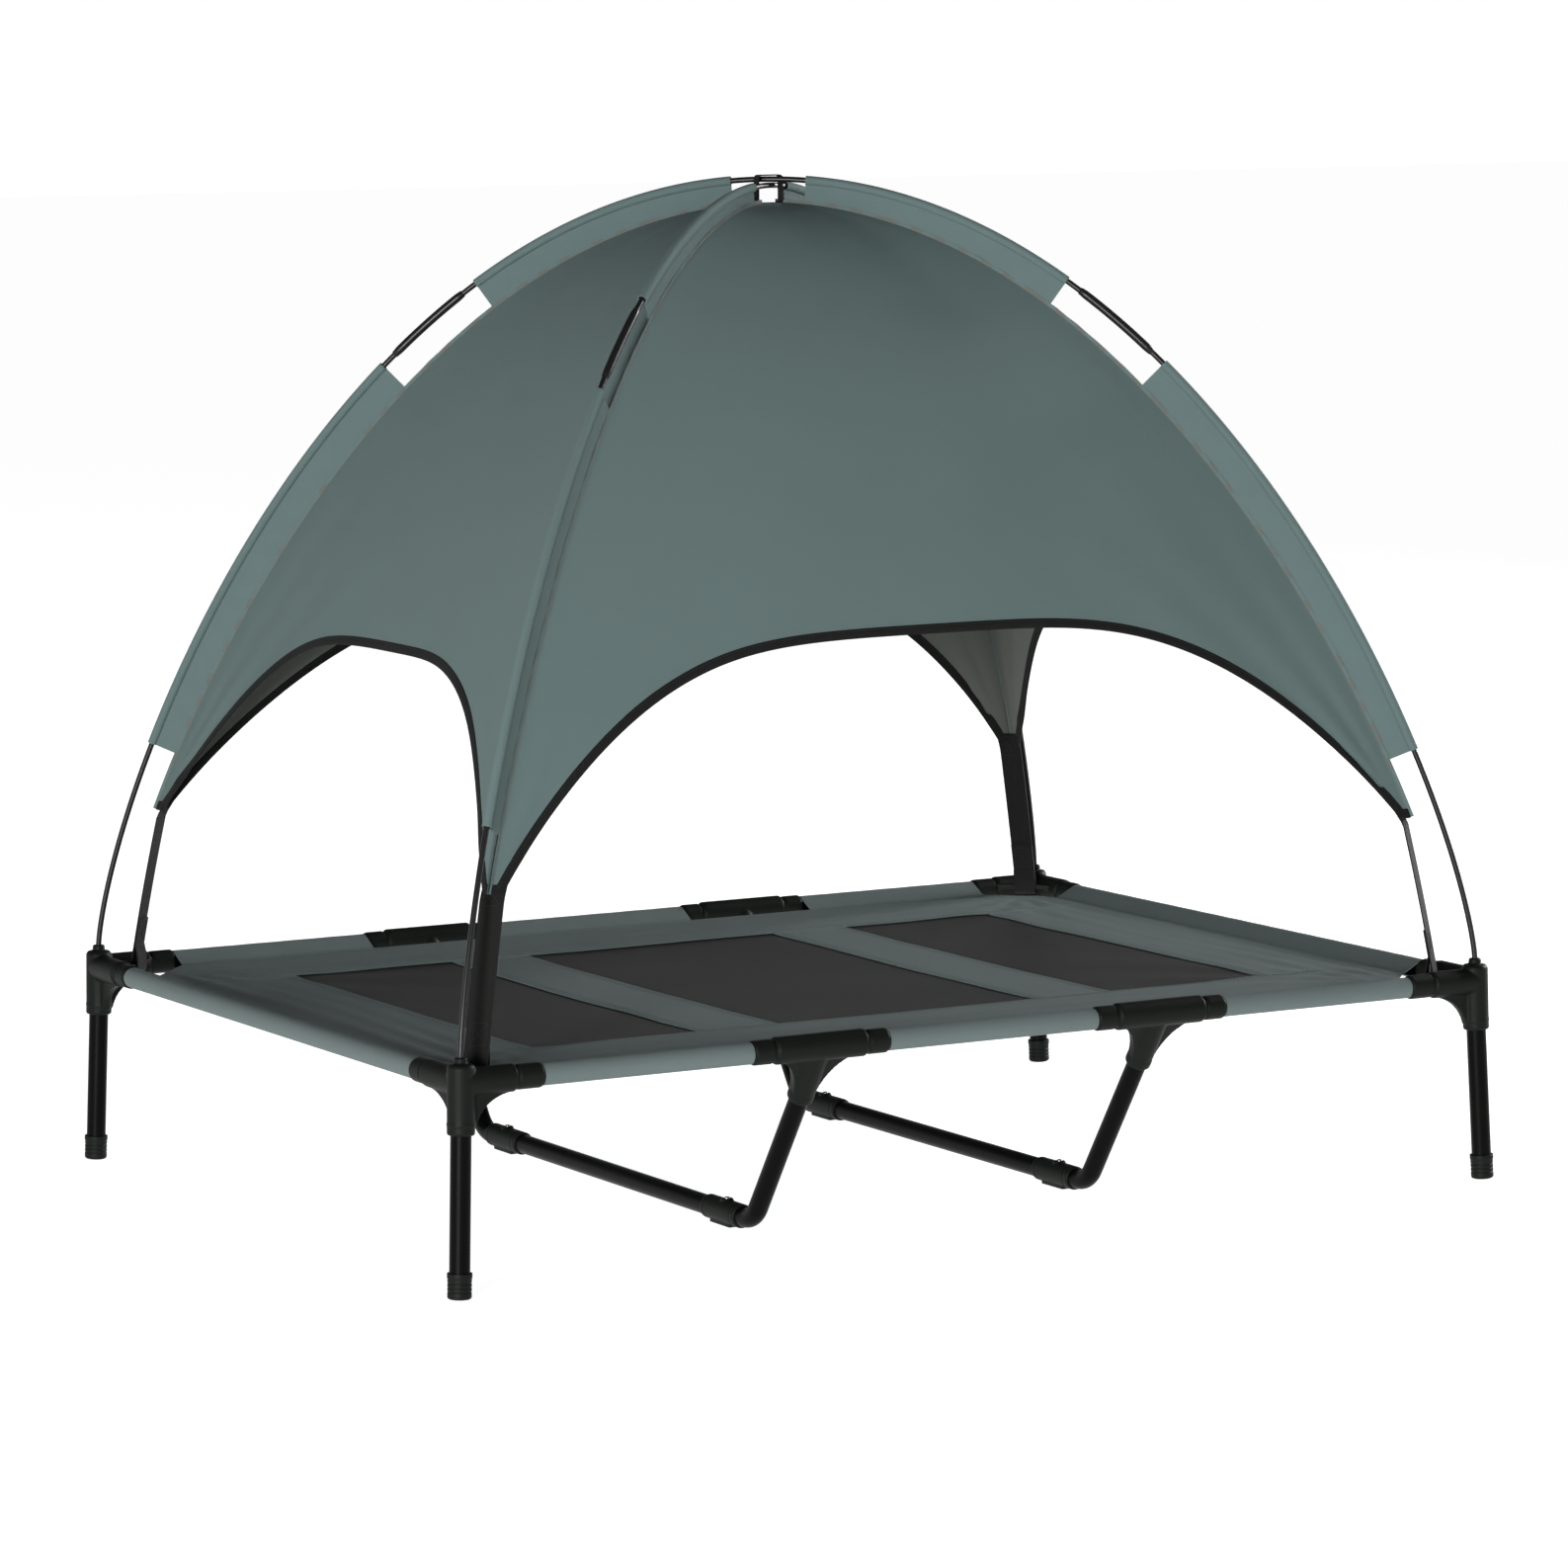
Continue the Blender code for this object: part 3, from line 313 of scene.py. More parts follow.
def add_mesh(name, points, faces, mat, cloth=None, sharp=35.0):
    """A smooth-shaded object; cloth gives each point its place on the flat pattern, in metres."""
    mesh = bpy.data.meshes.new(name)
    mesh.from_pydata([tuple(map(float, p)) for p in points], [], [tuple(map(int, f)) for f in faces])
    if cloth is not None:
        layer = mesh.uv_layers.new(name="cloth")
        loops = np.zeros(len(mesh.loops), np.int32)
        mesh.loops.foreach_get("vertex_index", loops)
        layer.data.foreach_set("uv", np.asarray(cloth, np.float32)[loops].ravel())
    mesh.materials.append(mat)
    shade(mesh, sharp)
    mesh.update()
    return linked(name, mesh)


def face_out(obj):
    with edited(obj.data) as shape:
        bmesh.ops.recalc_face_normals(shape, faces=shape.faces)
        if shape.calc_volume(signed=True) < 0:
            bmesh.ops.reverse_faces(shape, faces=shape.faces)
    return obj


def baked(obj, sharp):
    """The object with its modifiers turned into its mesh."""
    bpy.context.view_layer.update()
    graph = bpy.context.evaluated_depsgraph_get()
    mesh = bpy.data.meshes.new_from_object(obj.evaluated_get(graph))
    obj.modifiers.clear()
    old = obj.data
    obj.data = mesh
    bpy.data.meshes.remove(old)
    shade(mesh, sharp)
    return obj


def thicken(obj, thickness):
    """A closed sheet of cloth of that thickness round the object's surface."""
    solid = obj.modifiers.new("thickness", "SOLIDIFY")
    solid.thickness = thickness
    solid.offset = 0.0
    solid.use_even_offset = False
    return face_out(baked(obj, 50.0))


def grid_mesh(name, grid, mat, cloth=None, closed=False, sharp=35.0):
    rows, columns = grid.shape[:2]
    index = np.arange(rows * columns).reshape(rows, columns)
    if closed:
        index = np.concatenate([index, index[:, :1]], axis=1)
    a, b, c, d = index[:-1, :-1], index[1:, :-1], index[1:, 1:], index[:-1, 1:]
    faces = np.stack([a, b, c, d], axis=-1).reshape(-1, 4)
    flat = None if cloth is None else cloth.reshape(-1, 2)
    return add_mesh(name, grid.reshape(-1, 3), faces, mat, flat, sharp)


def ride(obj, slot, *nodes, body="frame"):
    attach(obj, body)
    if nodes:
        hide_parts(*nodes)
    return obj


def unit(v):
    v = np.asarray(v, float)
    return v / np.linalg.norm(v, axis=-1, keepdims=True)


class Path:
    """A curve through points, with a direction across it that stays near a given one."""

    def __init__(self, points, across):
        self.points = np.asarray(points, float)
        self.travel = travelled(self.points)
        self.length = self.travel[-1]
        self.across = unit(across)
        self.tangents = unit(np.gradient(self.points, self.travel, axis=0))

    def at(self, s):
        """Centre, across, out and tangent at distances s."""
        s = np.atleast_1d(s)
        centre = placed(s, self.travel, self.points)
        along = unit(placed(s, self.travel, self.tangents))
        out = unit(np.cross(along, self.across))
        return centre, np.cross(out, along), out, along


def swept(name, path, profile_points, mat, sides=40):
    """(distance, radius) circles along a path. A first radius of 0 closes the shape at its ends;
    otherwise its two ends meet in a ring."""
    stations, radii = np.array(profile_points, float).T
    centre, across, out, _ = path.at(stations)
    turn = 2 * math.pi * np.arange(sides) / sides
    ring = np.cos(turn)[None, :, None] * across[:, None] + np.sin(turn)[None, :, None] * out[:, None]
    grid = centre[:, None] + radii[:, None, None] * ring
    if radii[0] > 0:
        grid = np.concatenate([grid, grid[:1]])
    made = grid_mesh(name, grid, mat, closed=True)
    with edited(made.data) as shape:
        bmesh.ops.remove_doubles(shape, verts=shape.verts, dist=1e-7)
    face_out(made)
    made.data.set_sharp_from_angle(angle=math.radians(30))
    return made


def straight(a, b):
    a, b = np.asarray(a, float), np.asarray(b, float)
    along = unit(b - a)
    helper = Z if abs(along[2]) < 0.9 else X
    return Path([a, b], np.cross(along, helper))


def rounded_ends(profile_points, soft, steps=4):
    """(distance, radius) points with each inner corner replaced by a small arc."""
    points = [np.array(p, float) for p in profile_points]
    out = [points[0]]
    for before, here, after in zip(points, points[1:], points[2:]):
        a, b = before - here, after - here
        la, lb = np.linalg.norm(a), np.linalg.norm(b)
        reach = min(soft, 0.45 * la, 0.45 * lb)
        start, end = here + a / la * reach, here + b / lb * reach
        for k in range(steps + 1):
            t = k / steps
            out.append((1 - t) ** 2 * start + 2 * t * (1 - t) * here + t ** 2 * end)
    out.append(points[-1])
    return out


def tube(name, path, stops):
    """One of the frame's steel tubes."""
    outside = [(stop, TUBE_RADIUS) for stop in stops]
    return swept(name, path, outside + [(stop, TUBE_INSIDE) for stop in stops[::-1]], STEEL)


def prism(outline, x_axis, y_axis, low, high, origin=(0, 0, 0)):
    """A flat-sided part of a moulding: an outline between two heights."""
    origin, x_axis, y_axis = (np.asarray(v, float) for v in (origin, x_axis, y_axis))
    z_axis = np.cross(x_axis, y_axis)
    count = len(outline)
    points = [origin + x * x_axis + y * y_axis + z * z_axis for z in (low, high) for x, y in outline]
    faces = [tuple(range(count)), tuple(range(count, 2 * count))]
    faces += [(k, (k + 1) % count, count + (k + 1) % count, count + k) for k in range(count)]
    return face_out(add_mesh("prism", points, faces, PLASTIC, sharp=30.0))


def raw(path, profile_points, sides=56):
    """A round part of a moulding."""
    return swept("round", path, profile_points, PLASTIC, sides)


def bore(start, end, radius, depth, sides=56):
    """A cutter for a round hole, from one point towards another."""
    path = start if isinstance(start, Path) else straight(start, end)
    return raw(path, [(0, 0), (0, radius), (depth, radius), (depth, 0)], sides)


def joined(objs, name):
    """One object that holds all the given objects' meshes."""
    shape = bmesh.new()
    for obj in objs:
        obj.data.transform(obj.matrix_world)
        shape.from_mesh(obj.data)
    mesh = bpy.data.meshes.new(name)
    shape.to_mesh(mesh)
    shape.free()
    mesh.materials.append(objs[0].data.materials[0])
    discard(*objs)
    return linked(name, mesh)


def moulding(name, parts, cutters, voxel, passes):
    """Parts fused as one moulding with soft inner corners, and bores cut clean afterwards."""
    made = joined(parts, name)
    fuse = made.modifiers.new("fuse", "REMESH")
    fuse.mode = "VOXEL"
    fuse.voxel_size = voxel
    ease = made.modifiers.new("ease", "SMOOTH")
    ease.factor = 0.5
    ease.iterations = passes
    baked(made, None)
    for cutter in cutters:
        hole = made.modifiers.new("hole", "BOOLEAN")
        hole.operation = "DIFFERENCE"
        hole.solver = "EXACT"
        hole.object = cutter
    baked(made, 40.0)
    discard(*cutters)
    return made


def mirrored(source, name, sx, sy, shift):
    mesh = source.data.copy()
    mesh.transform(Matrix.Translation(shift) @ Matrix.Diagonal((sx, sy, 1, 1)))
    if sx * sy < 0:
        mesh.flip_normals()
    return linked(name, mesh)


def stitches(name, rows, mat, slot, pitch=4.4 * MM, length=3.0 * MM, width=0.55 * MM, height=0.5 * MM):
    """Rows of thread stitches: each row is a line of points on the cloth with the cloth's normals."""
    points, faces = [], []
    for line, normal in rows:
        line, normal = np.asarray(line, float), np.asarray(normal, float)
        travel = travelled(line)
        starts = np.arange(pitch * 0.5, travel[-1] - length, pitch)
        place = placed(starts[:, None] + length * np.array([0, 0.2, 0.8, 1.0]), travel, line)
        ups = unit(placed(starts, travel, normal))
        sides = np.cross(ups, unit(place[:, 3] - place[:, 0]))
        for knots, up, side in zip(place, ups, sides):
            base = len(points)
            for knot, lift in zip(knots, (-0.25, 1.0, 1.0, -0.25)):
                top, low = knot + lift * height * up, knot - 0.5 * height * up
                points += [low - side * width / 2, low + side * width / 2]
                points += [top + side * width * 0.36, top - side * width * 0.36]
            for a in range(base, base + 12, 4):
                faces += [(a + j, a + (j + 1) % 4, a + 4 + (j + 1) % 4, a + 4 + j) for j in range(4)]
            faces += [(base + 3, base + 2, base + 1, base), tuple(range(base + 12, base + 16))]
    return ride(add_mesh(name, points, faces, mat, sharp=50.0), slot)


def ripple(a, b, seed):
    """A smooth, repeatable wandering value about 1 high, from two coordinates."""
    draw = np.random.default_rng(seed)
    total = 0
    for k in range(5):
        fa, fb = draw.uniform(-1.0, 1.0, 2) * (1 + 0.6 * k)
        turn = 2 * math.pi * (fa * a + fb * b) + draw.uniform(0, 2 * math.pi)
        total = total + np.sin(turn) / (1 + 0.5 * k)
    return total / 2.2


# ---- pole and ridge lines
def arch_curve(count=800):
    angle = np.linspace(0, math.pi / 2, count + 1)
    out = HALF_DIAGONAL * np.cos(angle).clip(0) ** (2 / SPREAD_POWER)
    up = BOSS_TOP + (POLE_TOP - BOSS_TOP) * np.sin(angle) ** (2 / RISE_POWER)
    return out, up


DIAGONAL = {"a": np.array([COS, -SIN, 0]), "b": np.array([COS, SIN, 0])}


def pole_path(which):
    out, up = arch_curve()
    if which == "b":
        up = BOSS_TOP + (up - BOSS_TOP) * (POLE_TOP - POLE_LOWER - BOSS_TOP) / (POLE_TOP - BOSS_TOP)
    flat = [(-HALF_DIAGONAL, POLE_FOOT)] + [(-r, z) for r, z in zip(out, up)]
    flat += [(r, z) for r, z in zip(out[-2::-1], up[-2::-1])] + [(HALF_DIAGONAL, POLE_FOOT)]
    return Path([r * DIAGONAL[which] + z * Z for r, z in flat], np.cross(Z, DIAGONAL[which]))


def ridge_profile():
    """Distances along, out and up the canopy's ridge, from the top to the hem."""
    out, up = arch_curve(3000)
    travel = travelled(np.stack([out, up], axis=1))
    slope_out, slope_up = np.gradient(out, travel), np.gradient(up, travel)
    size = np.hypot(slope_out, slope_up)
    gap = RIDGE_GAP_END + RIDGE_GAP_EXTRA * np.sin(math.pi * travel / travel[-1])
    ridge_out = out - gap * slope_up / size
    ridge_up = up + gap * slope_out / size
    above = ridge_up >= CANOPY_HEM_Z
    ridge_out, ridge_up = ridge_out[above][::-1], ridge_up[above][::-1]
    return travelled(np.stack([ridge_out, ridge_up], axis=1)), ridge_out, ridge_up


RUN, RIDGE_OUT, RIDGE_UP = ridge_profile()
RIDGE_LENGTH = RUN[-1]


def ridge_at(share):
    run = np.clip(share, 0, 1) * RIDGE_LENGTH
    return np.interp(run, RUN, RIDGE_OUT), np.interp(run, RUN, RIDGE_UP)


# ---- canopy panels
KINDS = {  # the arch's height as a share of the ridge, and the two powers that shape it
    "long": {"across": COS, "away": SIN, "arch": (0.752, 4.05, 0.93)},
    "short": {"across": SIN, "away": COS, "arch": (0.774, 4.09, 1.19)},
}
SAG = 6.0 * MM
DRAPE = 2.2 * MM  # the wandering slack of a panel
PUCKER, PUCKER_PITCH, PUCKER_REACH = 0.45 * MM, 26.0 * MM, 16.0 * MM  # gathers beside the ridge seams
TIP_FOLD, TIP_REACH = 1.5 * MM, 200.0 * MM  # folds that fan out from the tips
CLOTH_THICK = 0.7 * MM
SEAM_SIDE = 1.15 * MM  # each panel stops this far from the ridge's middle plane
TOP_HOLE = 20.0 * MM
TIP_WIDTH = 13.0 * MM  # the blunt end of a panel beside the ridge
PANEL_FACES = {"front": ("long", 1), "back": ("long", -1), "left": ("short", 1), "right": ("short", -1)}
PANEL_SEEDS = {"front": 3, "back": 11, "left": 19, "right": 27}
PANEL_COLUMNS, PANEL_ROWS = 121, 73
TURNED_UP = (0.9 * MM, 2.4 * MM, 4.0 * MM)  # the seam allowance beside the sleeve's flap


def panel_points(face, across, share):
    """Points of a panel at arrays of across (-1 to 1) and share (top to hem)."""
    kind, turn = PANEL_FACES[face]
    reach, away = KINDS[kind]["across"], KINDS[kind]["away"]
    out, up = ridge_at(share)
    half = out * reach - away * SEAM_SIDE
    inside = np.abs(half) * (1 - np.abs(across))
    run, left = share * RIDGE_LENGTH, (1 - share) * RIDGE_LENGTH
    seed = PANEL_SEEDS[face]
    sag = SAG * (1 - across ** 2) * np.clip(share / 0.3, 0, 1)
    sag = sag + DRAPE * ripple(across * 0.9, share * 0.8, seed) * (1 - across ** 4)
    pucker = np.sin(2 * math.pi * (run / PUCKER_PITCH + 0.5 * ripple(run * 3, across * 0, seed + 1)))
    tip = np.hypot(inside, left)
    clear = np.clip((tip - 0.035) / 0.06, 0, 1)
    sag = sag + PUCKER * np.exp(-inside / PUCKER_REACH) * pucker * clear
    angle = np.arctan2(inside, np.maximum(left, 1e-6))
    fold = np.sin(angle * 24 + 1.3 * np.sign(across) + 6 * tip)
    sag = sag + TIP_FOLD * np.exp(-tip / TIP_REACH) * clear * np.clip(inside / 0.03, 0, 1) * fold
    side = turn * across * half
    front = turn * (-(out * away + reach * SEAM_SIDE) + sag)
    return np.stack([side, front, up] if kind == "long" else [front, side, up], axis=-1)


def arch_share(kind, across):
    """How far down the panel reaches at each place across."""
    middle, power, bulge = KINDS[kind]["arch"]
    half_tip = 1 - TIP_WIDTH / (RIDGE_OUT[-1] * KINDS[kind]["across"])
    near = np.clip(np.abs(across) / half_tip, 0, 1)
    return middle + (1 - middle) * (1 - (1 - near ** power) ** bulge)


def meridian(kind, share):
    """Distance down the flat pattern, since a panel's level lines are straight."""
    away = KINDS[kind]["away"]
    travel = travelled(np.stack([RIDGE_OUT * away, RIDGE_UP], axis=1))
    return np.interp(np.clip(share, 0, 1) * RIDGE_LENGTH, RUN, travel)


def across_stops(count):
    """Places across a panel, closer together near its two ridges."""
    even = np.linspace(-1, 1, count)
    return np.sin(even * math.pi / 2) * 0.75 + even * 0.25


def turned_edge(face, share, side):
    """The seam allowance at one ridge: the panel turns outwards beside the sleeve's flap."""
    base = panel_points(face, np.full_like(share, side), share)
    out, up = ridge_at(share)
    slope_out, slope_up = np.gradient(out, share), np.gradient(up, share)
    size = np.hypot(slope_out, slope_up)
    flat = base[:, :2] / np.linalg.norm(base[:, :2], axis=1, keepdims=True)
    normal = np.concatenate([flat * (-slope_up / size)[:, None], (slope_out / size)[:, None]], axis=1)
    return base, normal


def canopy_panel(face):
    kind, _ = PANEL_FACES[face]
    begin = np.interp(TOP_HOLE, RIDGE_OUT, RUN) / RIDGE_LENGTH
    across = across_stops(PANEL_COLUMNS)
    share = begin + (arch_share(kind, across)[:, None] - begin) * np.linspace(0, 1, PANEL_ROWS)[None, :]
    grid = panel_points(face, np.repeat(across[:, None], PANEL_ROWS, axis=1), share)
    half = np.interp(share * RIDGE_LENGTH, RUN, RIDGE_OUT) * KINDS[kind]["across"]
    flat = np.stack([across[:, None] * half, meridian(kind, share)], axis=-1)
    for side, end in ((-1, 0), (1, -1)):
        base, normal = turned_edge(face, share[end], side)
        turned_up = np.stack([base + lift * normal for lift in TURNED_UP])
        cut = np.stack([flat[end] + [side * lift, 0] for lift in TURNED_UP])
        if end == 0:
            grid, flat = np.concatenate([turned_up[::-1], grid]), np.concatenate([cut[::-1], flat])
        else:
            grid, flat = np.concatenate([grid, turned_up]), np.concatenate([flat, cut])
    made = thicken(grid_mesh(f"canopy_cloth_{face}", grid, CANOPY_CLOTH, flat), CLOTH_THICK)
    line_inside(made)
    ride(made, "grey_fabric", f"canopy_{face}")
    size = (float(np.ptp(flat[..., 0])), float(np.ptp(flat[..., 1])))
    arch_binding(face)
    hem_stitches(face)


def line_inside(panel):
    """The dome's inner face has the cloth's greyer coating."""
    panel.data.materials.append(CANOPY_LINING)
    middle = Vector((0, 0, 0.35))
    for side in panel.data.polygons:
        if side.normal.dot(side.center - middle) < 0:
            side.material_index = 1


def arch_frame(face, count=361, inset=0.0):
    """The arch's edge, the direction into the cloth and the cloth's outward normal."""
    kind, _ = PANEL_FACES[face]
    across = across_stops(count)
    edge = arch_share(kind, across)
    line = panel_points(face, across, edge)
    above = panel_points(face, across, edge - 0.012)
    along = unit(np.gradient(line, axis=0))
    inward = above - line
    inward = unit(inward - (inward * along).sum(1, keepdims=True) * along)
    normal = unit(np.cross(along, inward))
    centre = np.array([0, 0, 0.5])
    flip = np.sign(((line - centre) * normal).sum(1))[:, None]
    return line + inset * inward, inward, normal * flip


BINDING_WIDE, BINDING_HALF = 9.5 * MM, 0.95 * MM
HEM_STITCH_INSET = 7.2 * MM


def arch_binding(face):
    """Tape folded over the arch's raw edge."""
    line, inward, normal = arch_frame(face)
    wide, half = BINDING_WIDE, BINDING_HALF
    fold = [(wide, half * 0.55), (wide - 0.5 * MM, half), (1.0 * MM, half)]
    fold += [(-0.2 * MM, half * 0.8), (-0.7 * MM, 0)]
    fold += [(a, -b) for a, b in reversed(fold[:-1])]
    grid = np.stack([line + a * inward + b * normal for a, b in fold], axis=1)
    cloth = pattern(travelled(fold), travelled(line))
    made = grid_mesh(f"arch_binding_{face}", grid, TAPE, cloth, closed=True, sharp=50.0)
    cap_ends(made, len(line), len(fold))
    return ride(made, "black_webbing")


def cap_ends(obj, rows, columns):
    with edited(obj.data) as shape:
        shape.verts.ensure_lookup_table()
        for row in (0, rows - 1):
            shape.faces.new([shape.verts[row * columns + k] for k in range(columns)])
    return face_out(obj)


def hem_stitches(face):
    line, _, normal = arch_frame(face, inset=HEM_STITCH_INSET)
    rows = [(line + side * BINDING_HALF * normal, side * normal) for side in (1, -1)]
    return stitches(f"hem_stitches_{face}", rows, BLACK_THREAD, "black_webbing")


# ---- pole sleeves along the ridges
SLEEVE_TOP_END = 40.0 * MM
WINDOW_HALF = 67.0 * MM
SLEEVE_RADIUS = 4.5 * MM
FLAP_HALF = 0.55 * MM
SLEEVE_HEM = 28.0 * MM  # the sleeve ends this far above the canopy's hem
SLEEVE_THICK = 0.75 * MM


SLEEVE_NODES = {"fl": ["ridge_sleeve_b_left"], "br": ["ridge_sleeve_b_right"],
                "fr": ["ridge_sleeve_a"], "bl": []}


def sleeve_grid(which, begin, end, count):
    """Cloth from the ridge, round the pole and back, at distances from the crossing to one side."""
    path = POLES[which]
    stops = np.linspace(begin, end, count)
    centre, across, out, _ = path.at(path.length / 2 + stops)
    depth = np.array([np.linalg.norm(RIDGES[which] - c, axis=1).min() for c in centre]) + 0.6 * MM
    angles = np.radians(np.linspace(-83, 263, 19))
    ring = [(SLEEVE_RADIUS * math.cos(a), SLEEVE_RADIUS * math.sin(a)) for a in angles]
    wave = 0.7 * MM * ripple(stops * 9, stops * 4, 5) + 0.25 * MM * np.sin(2 * math.pi * stops / 0.034)
    rows = []
    for k, c in enumerate(centre):
        flap = [(wave[k] * math.sin(math.pi * min(1.0, t * 1.05)), -depth[k] + (depth[k] - SLEEVE_RADIUS) * t)
                for t in np.linspace(0, 1, 6)[:-1]]
        outline = [(FLAP_HALF + bend, height) for bend, height in flap] + ring
        outline += [(-FLAP_HALF + bend, height) for bend, height in reversed(flap)]
        rows.append([c + a * across[k] + b * out[k] for a, b in outline])
    grid = np.array(rows)
    around = np.cumsum(np.linalg.norm(np.diff(grid, axis=1), axis=2), axis=1)
    return grid, pattern(np.concatenate([np.zeros((len(grid), 1)), around], axis=1), np.abs(stops))


def ridge_sleeve(tag, which, side):
    half = POLES[which].length / 2
    spans = ((SLEEVE_TOP_END, half / 3 - WINDOW_HALF), (half / 3 + WINDOW_HALF, RIDGE_LENGTH - SLEEVE_HEM))
    normal = POLES[which].across
    pieces, rows = [], []
    for begin, end in spans:
        grid, cloth = sleeve_grid(which, side * begin, side * end, int((end - begin) / (6 * MM)))
        pieces.append(thicken(grid_mesh("span", grid, CANOPY_CLOTH, cloth), SLEEVE_THICK))
        last = len(grid[0]) - 1
        for column, sign in ((4, 1), (last - 4, -1), (1, 1), (last - 1, -1)):
            line = grid[:, column] + sign * 0.42 * MM * normal
            rows.append((line, np.repeat((sign * normal)[None], len(line), axis=0)))
    area = sum(face.area for piece in pieces for face in piece.data.polygons) / 2
    made = joined_cloth(pieces, f"sleeve_cloth_{tag}")
    ride(made, "grey_fabric", *SLEEVE_NODES[tag])
    thread = stitches(f"sleeve_stitches_{tag}", rows, GREY_THREAD, "grey_fabric",
                      width=0.45 * MM, height=0.35 * MM)


def joined_cloth(pieces, name):
    """Several cloth meshes as one object, keeping their flat patterns."""
    base = pieces[0]
    with bpy.context.temp_override(active_object=base, selected_objects=pieces,
                                   selected_editable_objects=pieces):
        bpy.ops.object.join()
    base.name = name
    base.data.name = name
    return base


# ---- poles
FERRULE_HALF = 49.0 * MM


def pole_pieces(which):
    """Three rods end to end, with a metal ferrule round each of the two joints."""
    path = POLES[which]
    half = path.length / 2
    joint, gap, tip = half / 3, 0.4 * MM, 1.2 * MM
    soft = POLE_RADIUS - 0.8 * MM
    spans = (
        ("lower_left", 0.0, half - joint - gap),
        ("middle", half - joint + gap, half + joint - gap),
        ("lower_right", half + joint + gap, path.length),
    )
    for name, begin, end in spans:
        stops = np.linspace(begin + tip, end - tip, int((end - begin) / (9 * MM)))
        outline = [(begin, 0), (begin, soft)] + [(stop, POLE_RADIUS) for stop in stops]
        outline += [(end, soft), (end, 0)]
        rod = swept(f"rod_{which}_{name}", path, outline, RODS, 20)
        ride(rod, "black_fibreglass", f"pole_{which}_{name}")
    for name, at in (("left", half - joint), ("right", half + joint)):
        stops = np.linspace(at - FERRULE_HALF, at + FERRULE_HALF, 15)
        outer = [3.9 * MM] + [4.5 * MM] * (len(stops) - 2) + [3.9 * MM]
        outline = [(stops[0] - MM, 3.3 * MM), *zip(stops, outer), (stops[-1] + MM, 3.3 * MM)]
        outline += [(stop, 3.12 * MM) for stop in stops[::-1]]
        ride(swept(f"ferrule_{which}_{name}", path, outline, FERRULE, 24), "black_fibreglass")


# ---- the bed
HEM_REACH = 26.0 * MM  # the hem's stitch line, inwards from the rail's middle
HEM_RADIUS = 10.5 * MM
BED_DROP = 2.0 * MM
BED_SAG = 2.5 * MM
HEM_UNDER = 10.0 * MM
BED_THICK = 1.0 * MM
U_EDGE = HALF_LENGTH - HEM_REACH
V_EDGE = HALF_WIDTH - HEM_REACH
CORNER_X = 86.9 * MM
CORNER_Y = 93.9 * MM
BRACKET_END = 77.9 * MM
MESH_LAP = 11.0 * MM
BED_STEP = 6.5 * MM
STITCH_ROWS = (3.5 * MM, 9.5 * MM)  # beside the mesh
HEM_ROWS = (1.5 * MM, 6.5 * MM)


def hem_route():
    """Distances along the wrapped hem with the offset from the rail's middle (outwards, up)."""
    start = np.array([-HEM_REACH, -BED_DROP])
    far = np.linalg.norm(start)
    toward = math.atan2(start[1], start[0]) % (2 * math.pi)
    touch = math.acos(HEM_RADIUS / far)
    top, bottom = toward - touch, toward + touch - 2 * math.pi
    turn = np.linspace(top, bottom, 25)
    ring = HEM_RADIUS * np.stack([np.cos(turn), np.sin(turn)], axis=1)
    under = start - [0, 1.15 * MM]
    first = [start + (ring[0] - start) * t for t in np.linspace(0, 1, 6)[:-1]]
    last = [ring[-1] + (under - ring[-1]) * t for t in np.linspace(0, 1, 6)[1:]]
    route = np.array(first + list(ring) + last + [under + [-HEM_UNDER, 0.15 * MM]])
    return travelled(route), route


HEM_TRAVEL, HEM_ROUTE = hem_route()


def bed_height(u, v):
    """The height of the stretched cloth's middle surface inside the stitch lines."""
    near_u, near_v = np.clip(np.abs(u) / U_EDGE, 0, 1), np.clip(np.abs(v) / V_EDGE, 0, 1)
    sag = BED_SAG * (1 - near_u ** 2) * (1 - near_v ** 2)
    rim = np.clip((U_EDGE - np.abs(u)) / 0.02, 0, 1) * np.clip((V_EDGE - np.abs(v)) / 0.02, 0, 1)
    corner_u, corner_v = U_EDGE - 0.03 - np.abs(u), V_EDGE - 0.03 - np.abs(v)
    away = np.hypot(corner_u, corner_v)
    angle = np.arctan2(corner_v, corner_u)
    phase = np.sign(u) * 1.1 + np.sign(v) * 0.7
    folds = np.sin(angle * 17 + phase + 9 * away) * np.exp(-away / 0.17) * np.clip(away / 0.06, 0, 1)
    end = np.exp(-((np.abs(u) - 0.51) / 0.055) ** 2)
    long_folds = end * np.sin(2 * math.pi * (np.abs(u) / 0.031 + 0.35 * ripple(v * 1.6, u * 0, 41)))
    long_folds = long_folds * (0.55 + 0.45 * ripple(v * 2.1, u * 3, 43))
    side = np.sin(2 * math.pi * (np.abs(v) / 0.040 + 0.3 * ripple(u * 2, v * 0, 47)))
    side = np.exp(-((np.abs(v) - 0.36) / 0.05) ** 2) * side
    lift = 1.5 * MM * folds + 1.0 * MM * long_folds + 0.5 * MM * side
    lift = lift + 0.6 * MM * ripple(u * 2.2, v * 2.2, 51)
    step = np.clip((np.abs(v) - MESH_HALF_WIDTH) / (0.8 * MM), -0.5, 0.5) * 0.9 * MM
    return RAIL_HEIGHT - BED_DROP - sag + rim * (lift + step)


